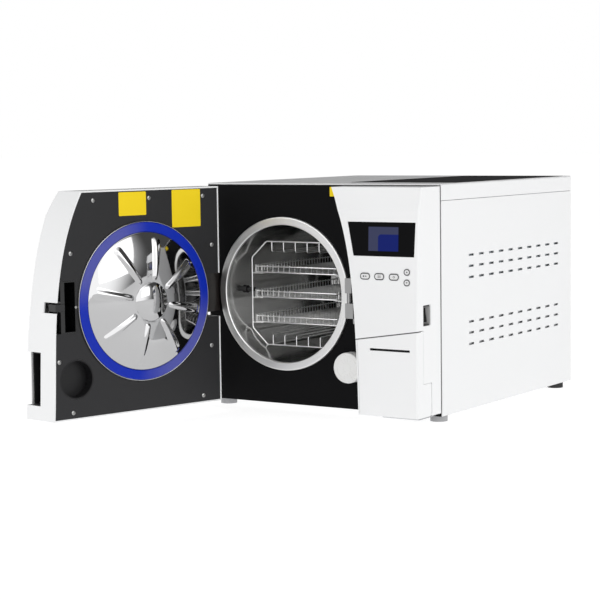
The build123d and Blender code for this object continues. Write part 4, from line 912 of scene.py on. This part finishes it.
start_symbol = [bar(START_X - 0.0027, PILL_Z, 0.0026, 0.0026),
                triangle(START_X, PILL_Z, (0.0008, 0.0015), (0.0008, -0.0015), (0.0035, 0))]
menu_symbol = [bar(MENU_X, PILL_Z + lift, 0.0062, 0.0006) for lift in (-0.0015, 0, 0.0015)]
enter_symbol = [(disc(ENTER_X, PILL_Z, 0.0019), disc(ENTER_X, PILL_Z, 0.0012))]
up_symbol = [triangle(ARROW_X, UP_Z, (-0.0017, -0.0010), (0.0017, -0.0010), (0, 0.0016))]
down_symbol = [triangle(ARROW_X, DOWN_Z, (-0.0017, 0.0012), (0.0017, 0.0012), (0, -0.0014))]
CAPS = {
    "button_start": (START_X, PILL_Z, PILL, start_symbol),
    "button_menu": (MENU_X, PILL_Z, PILL, menu_symbol),
    "button_enter": (ENTER_X, PILL_Z, PILL, enter_symbol),
    "button_up": (ARROW_X, UP_Z, ARROW, up_symbol),
    "button_down": (ARROW_X, DOWN_Z, ARROW, down_symbol),
}
for name, (x, z, cap, symbol) in CAPS.items():
    ink = raised(name + "_print", [cap_ring(x, z, *cap)] + symbol, on_panel, CAP_STAND - INK_LOW,
                 CAP_STAND + INK_HIGH)
    new_piece(name + "_print", ink, "print_ink", name)

# %% [markdown]
# The air filter's cap is a moulded disc with three rings and short radial ribs. The solid is plain there,
# because steps of half a millimetre are detail, so they are laid on its face and turn with it.

# %% Filter face
FILTER_X, FILTER_Z, FILTER_FACE = 0.066, 0.087, -0.2803
FILTER_RINGS, FILTER_RING_WIDTH, RING_STEPS = (0.0262, 0.0205, 0.0085), 0.0012, 64
RIBS, RIB_HALF, OUTER_RIB, INNER_RIB = 30, 0.0004, (0.0215, 0.0245), (0.0095, 0.019)
SUNK, PROUD = -0.0001, 0.0005


def on_filter(x, z, stand=0.0):
    """A point on the air filter's face."""
    return Vector((x, FILTER_FACE - stand, z))


def radial_rib(angle, near, far):
    """A bar that points away from the filter's middle."""
    out, aside = (math.cos(angle), math.sin(angle)), (-math.sin(angle), math.cos(angle))
    return [(FILTER_X + out[0] * reach + aside[0] * half, FILTER_Z + out[1] * reach + aside[1] * half)
            for reach, half in ((near, -RIB_HALF), (far, -RIB_HALF), (far, RIB_HALF), (near, RIB_HALF))]


steps_on_face = [(disc(FILTER_X, FILTER_Z, outer, RING_STEPS),
                  disc(FILTER_X, FILTER_Z, outer - FILTER_RING_WIDTH, RING_STEPS)) for outer in FILTER_RINGS]
for rib in range(RIBS):
    angle = 2 * math.pi * rib / RIBS
    steps_on_face.append(radial_rib(angle, *OUTER_RIB))
    if rib % 2:
        steps_on_face.append(radial_rib(angle, *INNER_RIB))
new_piece("filter_face", raised("filter_face", steps_on_face, on_filter, SUNK, PROUD), "filter_plastic",
          "air_filter")

# %% [markdown]
# The door's plate also has a small black plug under the seal and a steel pin beside the latch's slot.

# %% Plug and pin on the door
plug = raised("door_plug", [disc(-0.0599, 0.0728, 0.003)], on_door, 0, 0.0005)
new_piece("door_plug", plug, "black_plastic", "door")
pin = raised("latch_pin", [disc(0.0658, 0.2095, 0.0023)], on_door, 0, 0.0006)
new_piece("latch_pin", pin, "screw_steel", "door")

# %% [markdown]
# The fan at the back is behind a guard of chromed wire rings on four arms, whose ends turn in to the panel.
# It is made with the wire rows of the trays, one copy each.

# %% Fan guard
GUARD_X, GUARD_Z, GUARD_WIRE, GUARD_STAND = 0.160, 0.074, 0.001, 0.0034
GUARD_RINGS, GUARD_STEPS = (0.012, 0.022, 0.032, 0.042, 0.052), 48
ARM_REACH, ARM_DROP, ARM_FOOT, ARM_BEND = (0.012, 0.063, 0.069), 0.0015, 0.0006, 0.001
guard = []
for radius in GUARD_RINGS:
    ring = [on_back(x, z, GUARD_STAND) for x, z in disc(GUARD_X, GUARD_Z, radius, GUARD_STEPS)]
    guard.append(wire_row(ring, GUARD_WIRE, bend=0, closed=True))
for turn in range(4):
    angle = math.pi / 4 + turn * math.pi / 2
    inner, outer, foot = ((GUARD_X + reach * math.cos(angle), GUARD_Z + reach * math.sin(angle))
                          for reach in ARM_REACH)
    arm = [on_back(*inner, GUARD_STAND - ARM_DROP), on_back(*outer, GUARD_STAND - ARM_DROP),
           on_back(*foot, ARM_FOOT)]
    guard.append(wire_row(arm, GUARD_WIRE, bend=ARM_BEND))
new_piece("fan_guard", joined("fan_guard", guard), "wire_chrome", "cabinet", smooth=60)

# %% [markdown]
# ## Floor and lights
# The floor is a wide sheet that glows a little, so that it is as white as the backdrop and still takes a
# faint shadow. The surround gives most of the light: bright low down and dim overhead, so upright faces are
# brighter than the top. Polished metal is judged by what it mirrors, so for reflections alone the surround
# is a dark studio with three soft boxes.

# %% Floor
FLOOR_SIZE, FLOOR_GLOW = 60, 0.86
floor_finish = Finish("floor", (0.35, 0.35, 0.35), 0.9, Specular_IOR_Level=0.0)
floor_finish.set("Emission Color", (1, 1, 1))
floor_finish.set("Emission Strength", FLOOR_GLOW)
bpy.ops.mesh.primitive_plane_add(size=FLOOR_SIZE)
floor = bpy.context.object
floor.name = "floor"
floor.data.materials.append(floor_finish.material)
floor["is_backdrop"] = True
print("floor", FLOOR_SIZE, "m wide")


# %% The surround
class Surround(Finish):
    """The light from all round, with the same way of adding nodes."""

    def __init__(self, name):
        self.world = bpy.data.worlds.new(name)
        self.world.use_nodes = True
        self.nodes, self.links = self.world.node_tree.nodes, self.world.node_tree.links
        self.shader = self.nodes["Background"]
        bpy.context.scene.world = self.world


surround = Surround("surround")
east, north, up = surround.split(surround.add("ShaderNodeTexCoord", output="Generated"))


def soft_box(aim, wide, strength):
    """A round bright patch of the surround about a direction, fading to nothing at an angle in degrees."""
    aim = Vector(aim).normalized()
    nearness = east * aim.x + north * aim.y + up * aim.z
    return nearness.step(math.cos(math.radians(wide)), math.cos(math.radians(wide * 0.5))) * strength


SKY_BAND, SKY_LOW, SKY_HIGH, STUDIO_WALLS = (0.1, 0.62), 1.3, 0.26, 0.1
sky = (1 - up.step(*SKY_BAND)) * SKY_LOW + SKY_HIGH
studio = soft_box((0.74, -0.62, 0.26), 60, 1.7) + soft_box((-0.5, -0.85, 0.1), 50, 0.8)
studio = studio + soft_box((0.2, -0.1, 1), 40, 0.8) + STUDIO_WALLS
glossy = surround.add("ShaderNodeLightPath", output="Is Glossy Ray")
seen = surround.add("ShaderNodeLightPath", output="Is Camera Ray")
strength = glossy * studio + (1 - glossy) * sky
surround.set("Color", (1, 1, 1))
surround.set("Strength", seen + (1 - seen) * strength)
print("surround:", len(surround.nodes), "nodes")

# %% [markdown]
# Two area lights give the shape that an even surround can't: one from the left front, for the door and the
# panel, and one from the right, for the side cover.

# %% Lights
LIGHT_SIZE, LIGHT_AIM = 1.6, Vector((0, 0, 0.2))


def soft_light(name, place, power):
    """A square soft box at a place, facing the instrument."""
    data = bpy.data.lights.new(name, "AREA")
    data.size = LIGHT_SIZE
    data.energy = power
    light = bpy.data.objects.new(name, data)
    light.location = place
    light.rotation_euler = (LIGHT_AIM - Vector(place)).to_track_quat("-Z", "Y").to_euler()
    bpy.context.scene.collection.objects.link(light)


soft_light("key", (-1.6, -2.6, 2.2), 16)
soft_light("side", (2.8, -0.6, 1.4), 14)
bpy.context.scene.view_settings.view_transform = "Standard"
print("lights ready")

# %% Size and end
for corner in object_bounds():
    print("bounds", [round(value, 4) for value in corner])
